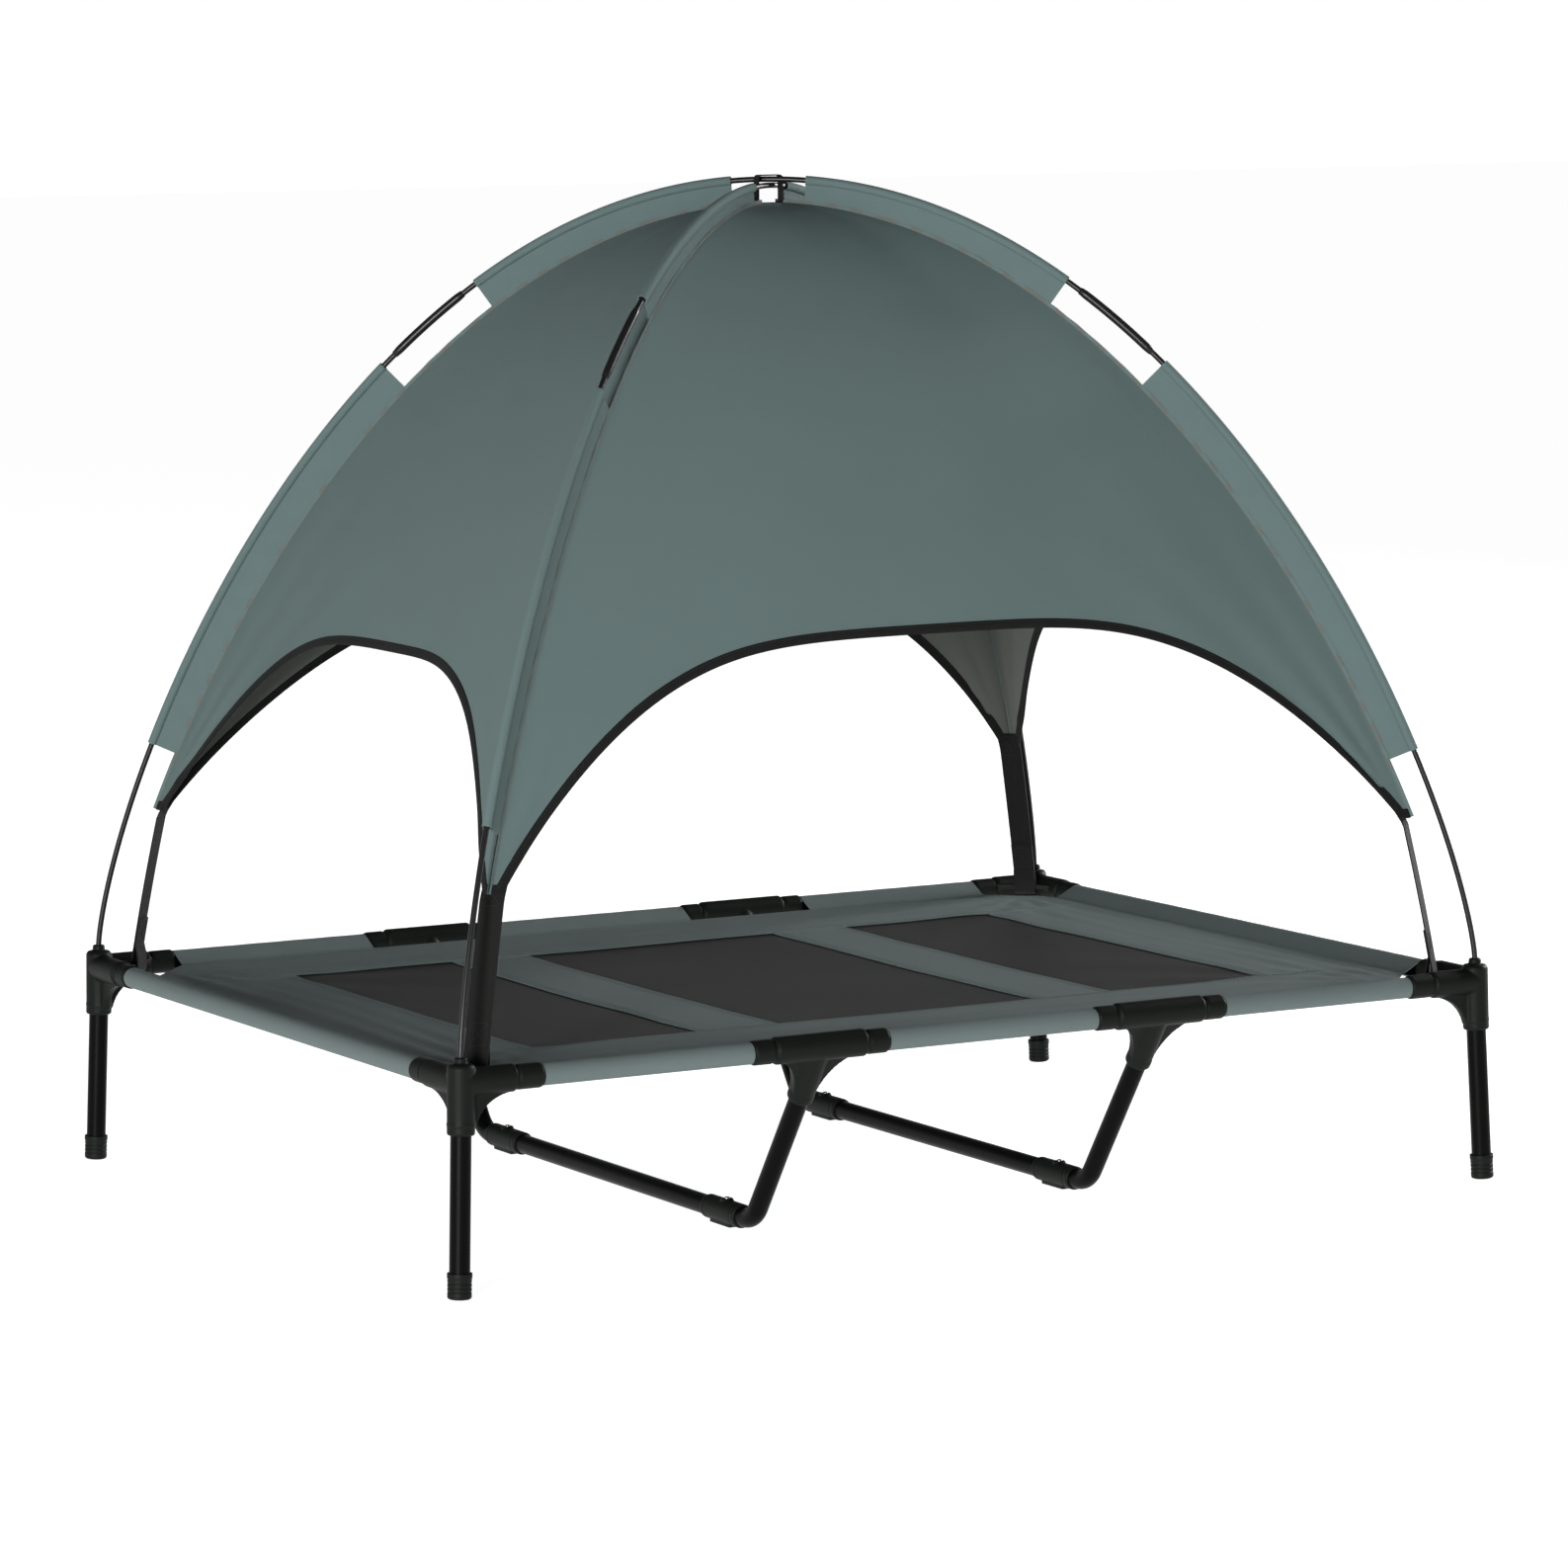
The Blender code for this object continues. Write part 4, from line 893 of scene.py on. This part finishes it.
def bed_point(u, v):
    """A point of the flat pattern put in its place on the bed."""
    for value, limit, centre, is_u in ((u, U_EDGE, HALF_LENGTH, True), (v, V_EDGE, HALF_WIDTH, False)):
        beyond = abs(value) - limit
        if beyond > 1e-7:
            out = np.interp(beyond, HEM_TRAVEL, HEM_ROUTE[:, 0])
            up = np.interp(beyond, HEM_TRAVEL, HEM_ROUTE[:, 1])
            place = math.copysign(centre + out, value)
            other = v if is_u else u
            slack = 0.35 * MM * math.sin(2 * math.pi * other / 0.047)
            slack *= math.exp(-abs(beyond - 0.012) / 0.012)
            height = RAIL_HEIGHT + up + slack * min(1.0, beyond / 0.004)
            return (place, v, height) if is_u else (u, place, height)
    return u, v, float(bed_height(np.float64(u), np.float64(v)))


def stops_between(marks, step):
    """Every mark, with even steps between them."""
    marks = sorted(set(round(m, 7) for m in marks))
    stops = []
    for low, high in zip(marks, marks[1:]):
        count = max(1, math.ceil((high - low) / step - 1e-6))
        stops += list(np.linspace(low, high, count + 1)[:-1])
    return stops + [marks[-1]]


def cut_corner(shape, sx, sy):
    """The bed's corner cut off straight between the ends of its hems."""
    x_end, y_end = HALF_LENGTH - CORNER_X, HALF_WIDTH - CORNER_Y
    start = Vector((sx * x_end, sy * V_EDGE, 0))
    normal = Vector(((V_EDGE - y_end) * sx, (U_EDGE - x_end) * sy, 0)).normalized()

    def corner_faces():
        for face in shape.faces:
            x, y, _ = face.calc_center_median()
            if x_end < x * sx < U_EDGE and y_end < y * sy < V_EDGE:
                yield face

    near = list(corner_faces())
    geometry = {part for face in near for part in (face, *face.edges, *face.verts)}
    bmesh.ops.bisect_plane(shape, geom=list(geometry), dist=1e-6, plane_co=start, plane_no=normal)
    outer = [face for face in corner_faces() if (face.calc_center_median() - start).dot(normal) > 0]
    bmesh.ops.delete(shape, geom=outer, context="FACES")


def bed_cloth():
    """One sheet cut with hem flaps, open at the mesh and at the corners, with its flaps round the rails."""
    x_end, y_span = HALF_LENGTH - CORNER_X, HALF_WIDTH - CORNER_Y
    x_spans = ((-x_end, -BRACKET_X - BRACKET_END), (-BRACKET_X + BRACKET_END, BRACKET_X - BRACKET_END),
               (BRACKET_X + BRACKET_END, x_end))
    hem = list(HEM_TRAVEL[1:])
    u_marks = [-U_EDGE, U_EDGE] + [m for pair in (*x_spans, *MESH_EDGES) for m in pair]
    v_marks = [-V_EDGE, V_EDGE, -y_span, y_span, -MESH_HALF_WIDTH, MESH_HALF_WIDTH]
    v_marks += [s * (MESH_HALF_WIDTH + d * MM) for s in (-1, 1) for d in (0.4, 0.9)]
    us, vs = ([-edge - d for d in reversed(hem)] + stops_between(marks, BED_STEP) + [edge + d for d in hem]
              for edge, marks in ((U_EDGE, u_marks), (V_EDGE, v_marks)))

    def kept(u, v):
        in_u, in_v = abs(u) < U_EDGE, abs(v) < V_EDGE
        if in_u and in_v:
            return not (abs(v) < MESH_HALF_WIDTH and any(low < u < high for low, high in MESH_EDGES))
        if in_u:
            return any(low < u < high for low, high in x_spans)
        return in_v and abs(v) < y_span

    shape = bmesh.new()
    verts = {}
    for i in range(len(us) - 1):
        for j in range(len(vs) - 1):
            if not kept((us[i] + us[i + 1]) / 2, (vs[j] + vs[j + 1]) / 2):
                continue
            corners = [(i, j), (i + 1, j), (i + 1, j + 1), (i, j + 1)]
            for key in corners:
                if key not in verts:
                    verts[key] = shape.verts.new((us[key[0]], vs[key[1]], 0))
            shape.faces.new([verts[key] for key in corners])
    for _, sx, sy in CORNERS:
        cut_corner(shape, sx, sy)
    bmesh.ops.remove_doubles(shape, verts=shape.verts, dist=1e-6)
    area = sum(f.calc_area() for f in shape.faces)
    mesh = bpy.data.meshes.new("bed_sheet")
    shape.to_mesh(mesh)
    shape.free()
    flat = np.zeros(len(mesh.vertices) * 3, np.float32)
    mesh.vertices.foreach_get("co", flat)
    flat = flat.reshape(-1, 3)[:, :2].astype(float)
    faces = [tuple(p.vertices) for p in mesh.polygons]
    bpy.data.meshes.remove(mesh)
    points = [bed_point(u, v) for u, v in flat]
    made = thicken(add_mesh("bed_sheet", points, faces, BED_CLOTH, flat), BED_THICK)
    ride(made, "grey_fabric", "bed_fabric")
    bed_stitches(x_spans, y_span)


def bed_line(points, count=200):
    """A line on top of the bed between places given on the flat pattern."""
    points = np.asarray(points, float)
    travel = travelled(points)
    u, v = placed(np.linspace(0, travel[-1], count), travel, points).T
    line = np.stack([u, v, bed_height(u, v) + BED_THICK / 2], axis=1)
    return line, np.repeat(Z[None], count, axis=0)


def bed_stitches(x_spans, y_span):
    rows = []
    reach, end = U_EDGE - 62 * MM, 2 * MM
    for side in (-1, 1):
        for inset in STITCH_ROWS:
            v = side * (MESH_HALF_WIDTH + inset)
            rows.append(bed_line([(-reach, v), (reach, v)], 900))
        for low, high in MESH_EDGES:
            for u in [low - inset for inset in STITCH_ROWS] + [high + inset for inset in STITCH_ROWS]:
                rows.append(bed_line([(u, 0), (u, side * MESH_HALF_WIDTH)]))
        for low, high in x_spans:
            for inset in HEM_ROWS:
                v = side * (V_EDGE - inset)
                rows.append(bed_line([(low + end, v), (high - end, v)]))
        for inset in HEM_ROWS:
            u = side * (U_EDGE - inset)
            rows.append(bed_line([(u, -y_span + end), (u, y_span - end)], 500))
    return stitches("bed_stitches", rows, GREY_THREAD, "grey_fabric")


def mesh_nets():
    for tag, (low, high) in zip(("left", "middle", "right"), MESH_EDGES):
        us = np.linspace(low - MESH_LAP, high + MESH_LAP, int((high - low) / (8 * MM)))
        vs = np.linspace(-MESH_HALF_WIDTH - MESH_LAP, MESH_HALF_WIDTH + MESH_LAP, 76)
        u, v = np.meshgrid(us, vs, indexing="ij")
        height = bed_height(u, v)
        lap = np.minimum(np.minimum(u - low, high - u), MESH_HALF_WIDTH - np.abs(v))
        under = RAIL_HEIGHT - BED_DROP - BED_SAG * (1 - (u / U_EDGE) ** 2) * (1 - (v / V_EDGE) ** 2)
        height = np.minimum(height, under + 0.5 * MM * ripple(u * 2.2, v * 2.2, 51)) - 1.0 * MM
        height = height - np.where(lap < 0, 0.5 * MM, 0)
        grid = np.stack([u, v, height], axis=-1)
        made = thicken(grid_mesh(f"net_{tag}", grid, NET, np.stack([u, v], axis=-1)), 0.7 * MM)
        ride(made, "black_mesh", f"mesh_panel_{tag}")


# ---- frame tubes and mouldings
def lean(z):
    share = max(0.0, 1 - z / LEG_TOP)
    return -FOOT_SPLAY_X * share, -FOOT_SPLAY_Y * share


def four_corners(source, name, node, slot):
    for tag, sx, sy in CORNERS:
        made = mirrored(source, f"{name}_{tag}", -sx, -sy, (sx * HALF_LENGTH, sy * HALF_WIDTH, 0))
        ride(made, slot, f"{node}_{tag}")
    discard(source)


def legs():
    low, end = 4.0 * MM, 0.6 * MM
    path = Path([(*lean(low), low), (0, 0, LEG_TOP)], Y)
    made = tube("leg", path, [0, end, path.length - end, path.length])
    four_corners(made, "leg_steel", "leg_tube", "powder_coated_steel")


def feet():
    height, radius, groove = 26.0, 12.0, 11.55
    path = Path([(*lean(0), 0.45 * MM), (*lean(height * MM), height * MM)], Y)
    head = [(0, 0), (0, radius - 1.6), (1.6, radius)]
    for at in (6.5, 10.7, 14.9):
        head += [(at, radius), (at + 0.5, groove), (at + 1.2, groove), (at + 1.7, radius)]
    outline = profile(path.length, head, [(5.2, radius), (4.6, radius + 0.5), (0, radius + 0.5)])
    outline += [(path.length, BORE_RADIUS), (3.5 * MM, BORE_RADIUS), (3.5 * MM, 0)]
    made = swept("foot", path, rounded_ends(outline, 0.6 * MM), PLASTIC, 48)
    four_corners(made, "foot_rubber", "foot_cap", "black_plastic")


def arm_profile(body, neck, tip):
    """A moulded arm, in mm: a wide body, a thin neck and a collar where the hem starts."""
    wide, thin, collar, soft = 14.0, 11.3, 12.6, 1.6
    return mm((0, 0), (0, wide), (body - 0.8, wide), (body, wide - 0.8), (body, thin), (neck, thin),
              (neck, collar - 0.4), (neck + 0.4, collar), (tip - soft, collar), (tip, collar - soft),
              (tip, 0))


def curve_outline(a, b, corner, pull, count=9):
    """A concave edge from a to b that bends towards the corner."""
    a, b, corner = (np.asarray(v, float) for v in (a, b, corner))
    middle = (a + b) / 2 + (corner - (a + b) / 2) * pull
    return [tuple((1 - t) ** 2 * a + 2 * t * (1 - t) * middle + t ** 2 * b) for t in np.linspace(0, 1, count)]


def corner_moulding():
    """The corner piece at the origin: arms along +X and +Y, the leg socket below, the pole boss on top."""
    height, base, below = RAIL_HEIGHT, 160 * MM, 150 * MM
    arms = [raw(straight(height * Z, height * Z + 0.2 * way), arm_profile(*sizes))
            for way, sizes in ((X, (56, 59.5, 86)), (Y, (66, 69.5, 93)))]
    post = Path([(*lean(base), base), (0, 0, LEG_TOP), (0, 0, BOSS_TOP)], Y)
    socket = raw(post, profile(
        post.length,
        [(0, 0), (0, 12.4), (1.4, 13.8), (9, 13.8), (9.6, 14.3), (11.4, 14.3), (12, 13.8)],
        [(9.5, 13.8), (6.5, 11.6), (6.3, 7.6), (5.3, 6.6), (0.9, 6.6), (0, 5.7), (0, 0)]))
    flare = mm((0, 205), (54, 205), (54, 199))
    flare += curve_outline(*mm((50, 198), (13.4, 166), (13.4, 198)), 0.62) + mm((0, 164))
    webs = [prism([(a * grow, b) for a, b in flare], way, Z, -4.4 * MM, 4.4 * MM)
            for way, grow in ((X, 1.0), (Y, 1.14))]
    corner = mm((5, 5), (60, 5), (60, 8), (8, 60), (5, 60))
    webs.append(prism(corner, X, Y, 212.8 * MM, 218.2 * MM))
    half, thick = 13.6 * MM / math.sqrt(2), 2.2 * MM / math.sqrt(2)
    slot = [(STRAP_SLOT + a * half - b * thick, STRAP_SLOT - a * half - b * thick)
            for a, b in ((1, 1), (1, -1), (-1, -1), (-1, 1))]
    cutters = [bore(17 * MM * way + height * Z, way + height * Z, BORE_RADIUS, 93 * MM) for way in (X, Y)]
    leg = Path([(*lean(below), below), (0, 0, LEG_TOP + 0.6 * MM)], Y)
    cutters += [bore(leg, None, BORE_RADIUS, LEG_TOP - below),
                bore((POLE_FOOT - 1.5 * MM) * Z, Z, 3.6 * MM, 40 * MM, 24),
                prism(slot, X, Y, 200 * MM, 230 * MM)]
    made = moulding("corner", [socket, *arms, *webs], cutters, 1.0 * MM, 6)
    four_corners(made, "corner_moulding", "corner_connector", "black_plastic")


STEM_LEAN = math.radians(35.0)


def bracket_moulding():
    """The rail bracket at the origin's X and Y: arms along X and a stem that leans towards +Y."""
    start = RAIL_HEIGHT * Z
    down = np.array([0, math.sin(STEM_LEAN), -math.cos(STEM_LEAN)])
    arms = [raw(straight(start, start + way * X), arm_profile(51, 55, 77)) for way in (-1, 1)]
    stem = raw(straight(start, start + down), profile(
        70 * MM, [(0, 0), (0, 13.2)], [(10, 13.2), (9.4, 13.7), (1.4, 13.7), (0, 12.3), (0, 0)]))
    side = curve_outline(*mm((47, 9), (12.8, 60), (12.8, 12)), 0.66)
    flare = [(-a, b) for a, b in side] + side[::-1] + mm((47, 3), (-47, 3))
    web = prism(flare, X, down, -5.6 * MM, 5.6 * MM, start)
    cutters = [bore(start + way * 1.5 * MM * X, start + way * X, BORE_RADIUS, 95 * MM) for way in (-1, 1)]
    cutters.append(bore(start + 22 * MM * down, start + down, BORE_RADIUS, 68 * MM))
    made = moulding("bracket", arms + [stem, web], cutters, 1.0 * MM, 6)
    for tag, sx, sy in CORNERS:
        piece = mirrored(made, f"bracket_moulding_{tag}", sx, -sy, (sx * BRACKET_X, sy * HALF_WIDTH, 0))
        ride(piece, "black_plastic", f"centre_bracket_{tag}")
    discard(made)


BEND_RADIUS = 35.0 * MM


def support_path():
    down = np.array([math.sin(STEM_LEAN), -math.cos(STEM_LEAN)])
    start = np.array([-HALF_WIDTH, RAIL_HEIGHT])
    meet = start + down * (RAIL_HEIGHT - BAR_HEIGHT) / math.cos(STEM_LEAN)
    turn = math.pi / 2 - STEM_LEAN
    reach = BEND_RADIUS * math.tan(turn / 2)
    enter = meet - down * reach
    centre = np.array([meet[0] + reach, BAR_HEIGHT + BEND_RADIUS])
    first = math.atan2(enter[1] - centre[1], enter[0] - centre[0])
    flat = [start + 24 * MM * down, enter - down * MM]
    for angle in np.linspace(first, -math.pi / 2, 25):
        flat.append(centre + BEND_RADIUS * np.array([math.cos(angle), math.sin(angle)]))
    flat += [flat[-1] + np.array([MM, 0]), np.array([-BUTTON_Y + 9.5 * MM, BAR_HEIGHT])]
    return Path([(0, y, z) for y, z in flat], X)


def supports():
    path = support_path()
    leg = tube("support", path, path.travel)
    near, far = 213 * MM, 285 * MM
    end = [(0, 0), (0, 11.2), (1.3, 12.5), (7, 12.5), (7.4, 12.0), (9, 12.0), (9.4, 12.5)]
    axis = BAR_HEIGHT * Z
    barrel = raw(straight(axis - far * Y, axis - near * Y), profile(far - near, end, end[::-1]))
    pad = prism(mm((-8, -270), (8, -270), (8, -228), (-8, -228)), X, Y, 0.0, 6 * MM)
    button = axis - BUTTON_Y * Y
    boss = raw(straight(button + 4 * MM * Z, button + Z),
               mm((0, 0), (0, 7.2), (8.6, 6.7), (10, 5.6), (10, 0)))
    cutters = [bore(axis - (far + 9 * MM) * Y, axis, BORE_RADIUS, far - near + 18 * MM),
               bore(button, button + Z, 3.5 * MM, 30 * MM, 24)]
    sleeve = moulding("sleeve", [barrel, pad, boss], cutters, 0.7 * MM, 3)
    for tag, sx, sy in CORNERS:
        shift = (sx * BRACKET_X, 0, 0)
        piece = mirrored(leg, f"support_steel_{tag}", sx, -sy, shift)
        ride(piece, "powder_coated_steel", f"support_leg_{tag}")
        piece = mirrored(sleeve, f"floor_moulding_{tag}", sx, -sy, shift)
        ride(piece, "black_plastic", f"floor_sleeve_{tag}")
        snap_button(tag, sx * BRACKET_X, sy * BUTTON_Y)
    discard(leg, sleeve)
    reach, soft = BUTTON_Y - 11.5 * MM, 0.5 * MM
    for tag, sx in (("left", -1), ("right", 1)):
        centre = axis + sx * BRACKET_X * X
        path = straight(centre - reach * Y, centre + reach * Y)
        bar = tube(f"floor_bar_{tag}", path, [0, soft, path.length - soft, path.length])
        ride(bar, "powder_coated_steel", f"support_bar_{tag}")


def snap_button(tag, x, y):
    path = straight((x, y, BAR_HEIGHT + 4.5 * MM), (x, y, BAR_HEIGHT + 15.4 * MM))
    radius, round_top = 2.9 * MM, 1.6 * MM
    low, pin = path.length - round_top, radius - round_top
    outline = mm((0, 0), (0, 4.4), (1.4, 4.4), (1.4, 2.9)) + [(low, radius)]
    outline += [(low + round_top * math.sin(a), pin + round_top * math.cos(a))
                for a in np.linspace(0.2, math.pi / 2, 7)]
    made = swept(f"button_{tag}", path, outline + [(path.length, 0)], BUTTON, 32)
    ride(made, "button_steel", f"snap_button_{tag}", body=f"button_{tag}")


def rails():
    """The rails stay as they are in the frame, with their finish."""
    for name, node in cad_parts.items():
        if name.startswith("rail_"):
            node.data.materials.clear()
            node.data.materials.append(STEEL)


# ---- straps and the top tie
def strap_line(z):
    """How far inwards the strap's middle is at a height, and how far it has drifted along X."""
    share = (z - STRAP_WEB[1]) / (STRAP_CAD_TOP - STRAP_WEB[1])
    bow = 1.2 * MM * np.sin(math.pi * np.clip(share, 0, 1))
    return STRAP_SLOT * math.sqrt(2) + STRAP_LEAN * share - bow, STRAP_DRIFT * np.clip(share, 0, None)


def strap_fold(z):
    """How sharply the strap is creased along its middle, where the canopy's corner folds round it."""
    share = np.clip((z - 376 * MM) / (STRAP_TOP - 376 * MM), 0, 1)
    return 0.7 * share ** 2 * (3 - 2 * share)


def strap_crease(z, spread):
    return strap_fold(z) * (np.sqrt(spread ** 2 + (1.5 * MM) ** 2) - 1.5 * MM)


def corner_straps():
    """Webbing from inside the canopy's corner through the connector's slot, round its bar and back up."""
    inward, across = (X + Y) / math.sqrt(2), (X - Y) / math.sqrt(2)
    slot = STRAP_SLOT * math.sqrt(2)
    low, back = STRAP_WEB[0] - 2.6 * MM, slot + 7.4 * MM
    route = [(strap_line(z)[0], z) for z in np.linspace(STRAP_TOP, STRAP_WEB[1] + MM, 32)]
    route.append((slot, STRAP_WEB[0] - 0.5 * MM))
    route += [(slot + 3.7 * MM * (1 - math.cos(a)), low - 3.0 * MM * math.sin(a) + MM)
              for a in np.linspace(0.5, math.pi - 0.5, 8)]
    route += [(back, STRAP_WEB[0] - 0.5 * MM), (back, STRAP_WEB[1] + 2 * MM), (back + 0.2 * MM, 226 * MM)]
    route += [(strap_line(z * MM)[0] + STRAP_THICK + 0.1 * MM, z * MM) for z in (238, 250, 266)]
    route = np.array(route)
    drift = strap_line(np.maximum(route[:, 1], STRAP_WEB[1]))[1]
    centres = route[:, :1] * inward + drift[:, None] * across + route[:, 1:] * Z
    spread = np.linspace(-1, 1, 11) * STRAP_HALF
    crease = strap_crease(centres[:, 2:], spread)
    grid = centres[:, None] + spread[None, :, None] * across + crease[:, :, None] * inward
    travel = travelled(centres)
    band = thicken(grid_mesh("strap", grid, WEBBING, pattern(spread, travel)), STRAP_THICK)
    rows = box_stitch(240 * MM, 262 * MM, inward, across) + box_stitch(374 * MM, 396 * MM, inward, across)
    thread = stitches("strap_thread", rows, BLACK_THREAD, "black_webbing", pitch=3.2 * MM, length=2.3 * MM)
    for tag, sx, sy in CORNERS:
        shift = (sx * HALF_LENGTH, sy * HALF_WIDTH, 0)
        sewing = ride(mirrored(thread, f"strap_stitches_{tag}", -sx, -sy, shift), "black_webbing")
        strap = mirrored(band, f"strap_webbing_{tag}", -sx, -sy, shift)
        ride(strap, "black_webbing", f"corner_strap_{tag}")
    discard(band, thread)


def box_stitch(low_z, high_z, inward, across):
    """The four sides and two diagonals of a sewn box, on both faces of the strap."""
    half = 9 * MM
    corners = [(-half, low_z), (half, low_z), (half, high_z), (-half, high_z), (-half, low_z), (half, high_z)]
    rows = []
    for (a, z0), (b, z1) in [*zip(corners, corners[1:]), ((half, low_z), (-half, high_z))]:
        zs, ws = np.linspace(z0, z1, 12), np.linspace(a, b, 12)
        middle, shift = strap_line(zs)
        crease = strap_crease(zs, ws)
        for sign in (-1, 1):
            doubled = STRAP_THICK + 0.1 * MM if sign > 0 and low_z < 0.3 else 0
            q = middle + crease + sign * (STRAP_THICK / 2 + doubled + 0.05 * MM)
            line = q[:, None] * inward + (shift + ws)[:, None] * across + zs[:, None] * Z
            rows.append((line, np.repeat((sign * inward)[None], 12, axis=0)))
    return rows


def top_tie():
    """A webbing loop over the crossed poles, sewn to a square patch on the canopy's top opening."""
    high = POLE_TOP + POLE_RADIUS + 1.2 * MM
    low = RIDGE_UP[0] - 2.0 * MM
    half_x, soft = 14.4 * MM, 3.5 * MM
    corner = [(half_x - soft + soft * math.cos(a), soft * math.sin(a)) for a in np.linspace(0, math.pi / 2, 7)]
    right = [(x, low + soft - z) for x, z in reversed(corner)] + [(x, high - soft + z) for x, z in corner]
    loop = right + [(-x, z) for x, z in reversed(right)]
    centres = np.array([(x, 0.0, z) for x, z in loop + loop[:2]])
    spread = np.linspace(-1, 1, 7) * 5 * MM
    travel = travelled(centres)
    grid = centres[:, None] + spread[None, :, None] * Y
    band = thicken(grid_mesh("tie_webbing", grid, WEBBING, pattern(spread, travel)), 1.2 * MM)
    ride(band, "black_webbing", "top_tie")
    us, vs = np.linspace(-19 * MM, 19 * MM, 15), np.linspace(-15 * MM, 15 * MM, 13)
    u, v = np.meshgrid(us, vs, indexing="ij")
    dome = 1.5 * MM * (1 - (u / us[-1]) ** 2) * (1 - (v / vs[-1]) ** 2)
    grid = np.stack([u, v, RIDGE_UP[0] - 3.2 * MM + dome - 0.06 * (np.abs(u) + np.abs(v))], axis=-1)
    patch = thicken(grid_mesh("top_patch", grid, CANOPY_CLOTH, np.stack([u, v], axis=-1)), 1.0 * MM)
    ride(patch, "grey_fabric")


# ---- camera, floor and light
SKY_LOW, SKY_HIGH = 1.0, 0.05  # the sky's strength at the horizon and overhead
SKY_FADE = (0.03, 0.40)
FLOOR_GLOW = 0.93
FLOOR_REACH = 40.0
CAMERA_PLACE = (-3.205, -5.793, 1.213)
CAMERA_ANGLES = (-29.04, 6.86, -0.59)  # azimuth, elevation and roll, in degrees
CAMERA_LENS = 143.2


def studio():
    azimuth, elevation, roll = (math.radians(v) for v in CAMERA_ANGLES)
    level = math.cos(elevation)
    back = np.array([math.sin(azimuth) * level, -math.cos(azimuth) * level, math.sin(elevation)])
    right = np.array([math.cos(azimuth), math.sin(azimuth), 0.0])
    up = np.cross(back, right)
    side = math.cos(roll) * right + math.sin(roll) * up
    top = math.cos(roll) * up - math.sin(roll) * right
    camera = linked("camera", bpy.data.cameras.new("camera"))
    camera.data.sensor_width = 36.0
    camera.data.lens = CAMERA_LENS
    camera.data.clip_start, camera.data.clip_end = 0.1, 100.0
    turn = Matrix([(*row,) for row in np.stack([side, top, back], axis=1)]).to_4x4()
    camera.matrix_world = Matrix.Translation(CAMERA_PLACE) @ turn
    SCENE.camera = camera

    white = (1.0, 1.0, 1.0, 1.0)
    glow = Nodes("studio_floor", (0.5, 0.5, 0.5), 0.9, Specular_IOR_Level=0.0, Emission_Color=white,
                 Emission_Strength=FLOOR_GLOW)
    corners = [(x * FLOOR_REACH, y * FLOOR_REACH, 0) for x, y in ((-1, -1), (1, -1), (1, 1), (-1, 1))]
    add_mesh("studio_floor", corners, [(0, 1, 2, 3)], glow.made, sharp=None)

    world = bpy.data.worlds.new("studio")
    world.use_nodes = True
    nodes, links = world.node_tree.nodes, world.node_tree.links
    height = nodes.new("ShaderNodeSeparateXYZ")
    links.new(nodes.new("ShaderNodeTexCoord").outputs["Generated"], height.inputs[0])
    fade = nodes.new("ShaderNodeMapRange")
    fade.interpolation_type = "SMOOTHSTEP"
    names = ("From Min", "From Max", "To Min", "To Max")
    for socket, value in zip(names, (*SKY_FADE, SKY_LOW, SKY_HIGH)):
        fade.inputs[socket].default_value = value
    links.new(height.outputs[2], fade.inputs["Value"])
    background = nodes["Background"]
    background.inputs["Color"].default_value = white
    links.new(fade.outputs[0], background.inputs["Strength"])
    SCENE.world = world

    lamp("key", (-4.9, -4.5, 0.75), (0, 0, 0.5), 1.5, 440.0)
    lamp("fill", (5.2, 0.6, 2.1), (0, 0, 0.3), 2.2, 380.0)
    SCENE.view_settings.view_transform = "Standard"


def lamp(name, place, target, size, power):
    data = bpy.data.lights.new(name, "AREA")
    data.shape = "DISK"
    data.size = size
    data.energy = power
    made = linked(name, data)
    made.location = place
    made.rotation_euler = (Vector(target) - Vector(place)).to_track_quat("-Z", "Y").to_euler()


# ---- the object
POLES = {which: pole_path(which) for which in "ab"}
RIDGES = {which: np.concatenate([
    -RIDGE_OUT[::-4, None] * DIAGONAL[which] + RIDGE_UP[::-4, None] * Z,
    RIDGE_OUT[::4, None] * DIAGONAL[which] + RIDGE_UP[::4, None] * Z]) for which in "ab"}

studio()
rails()
legs()
feet()
supports()
corner_moulding()
bracket_moulding()
for pole_name in "ab":
    pole_pieces(pole_name)
bed_cloth()
mesh_nets()
for face_name in PANEL_FACES:
    canopy_panel(face_name)
for corner_tag, pole_name, way in (("fl", "b", -1), ("br", "b", 1), ("fr", "a", 1), ("bl", "a", -1)):
    ridge_sleeve(corner_tag, pole_name, way)
corner_straps()
top_tie()
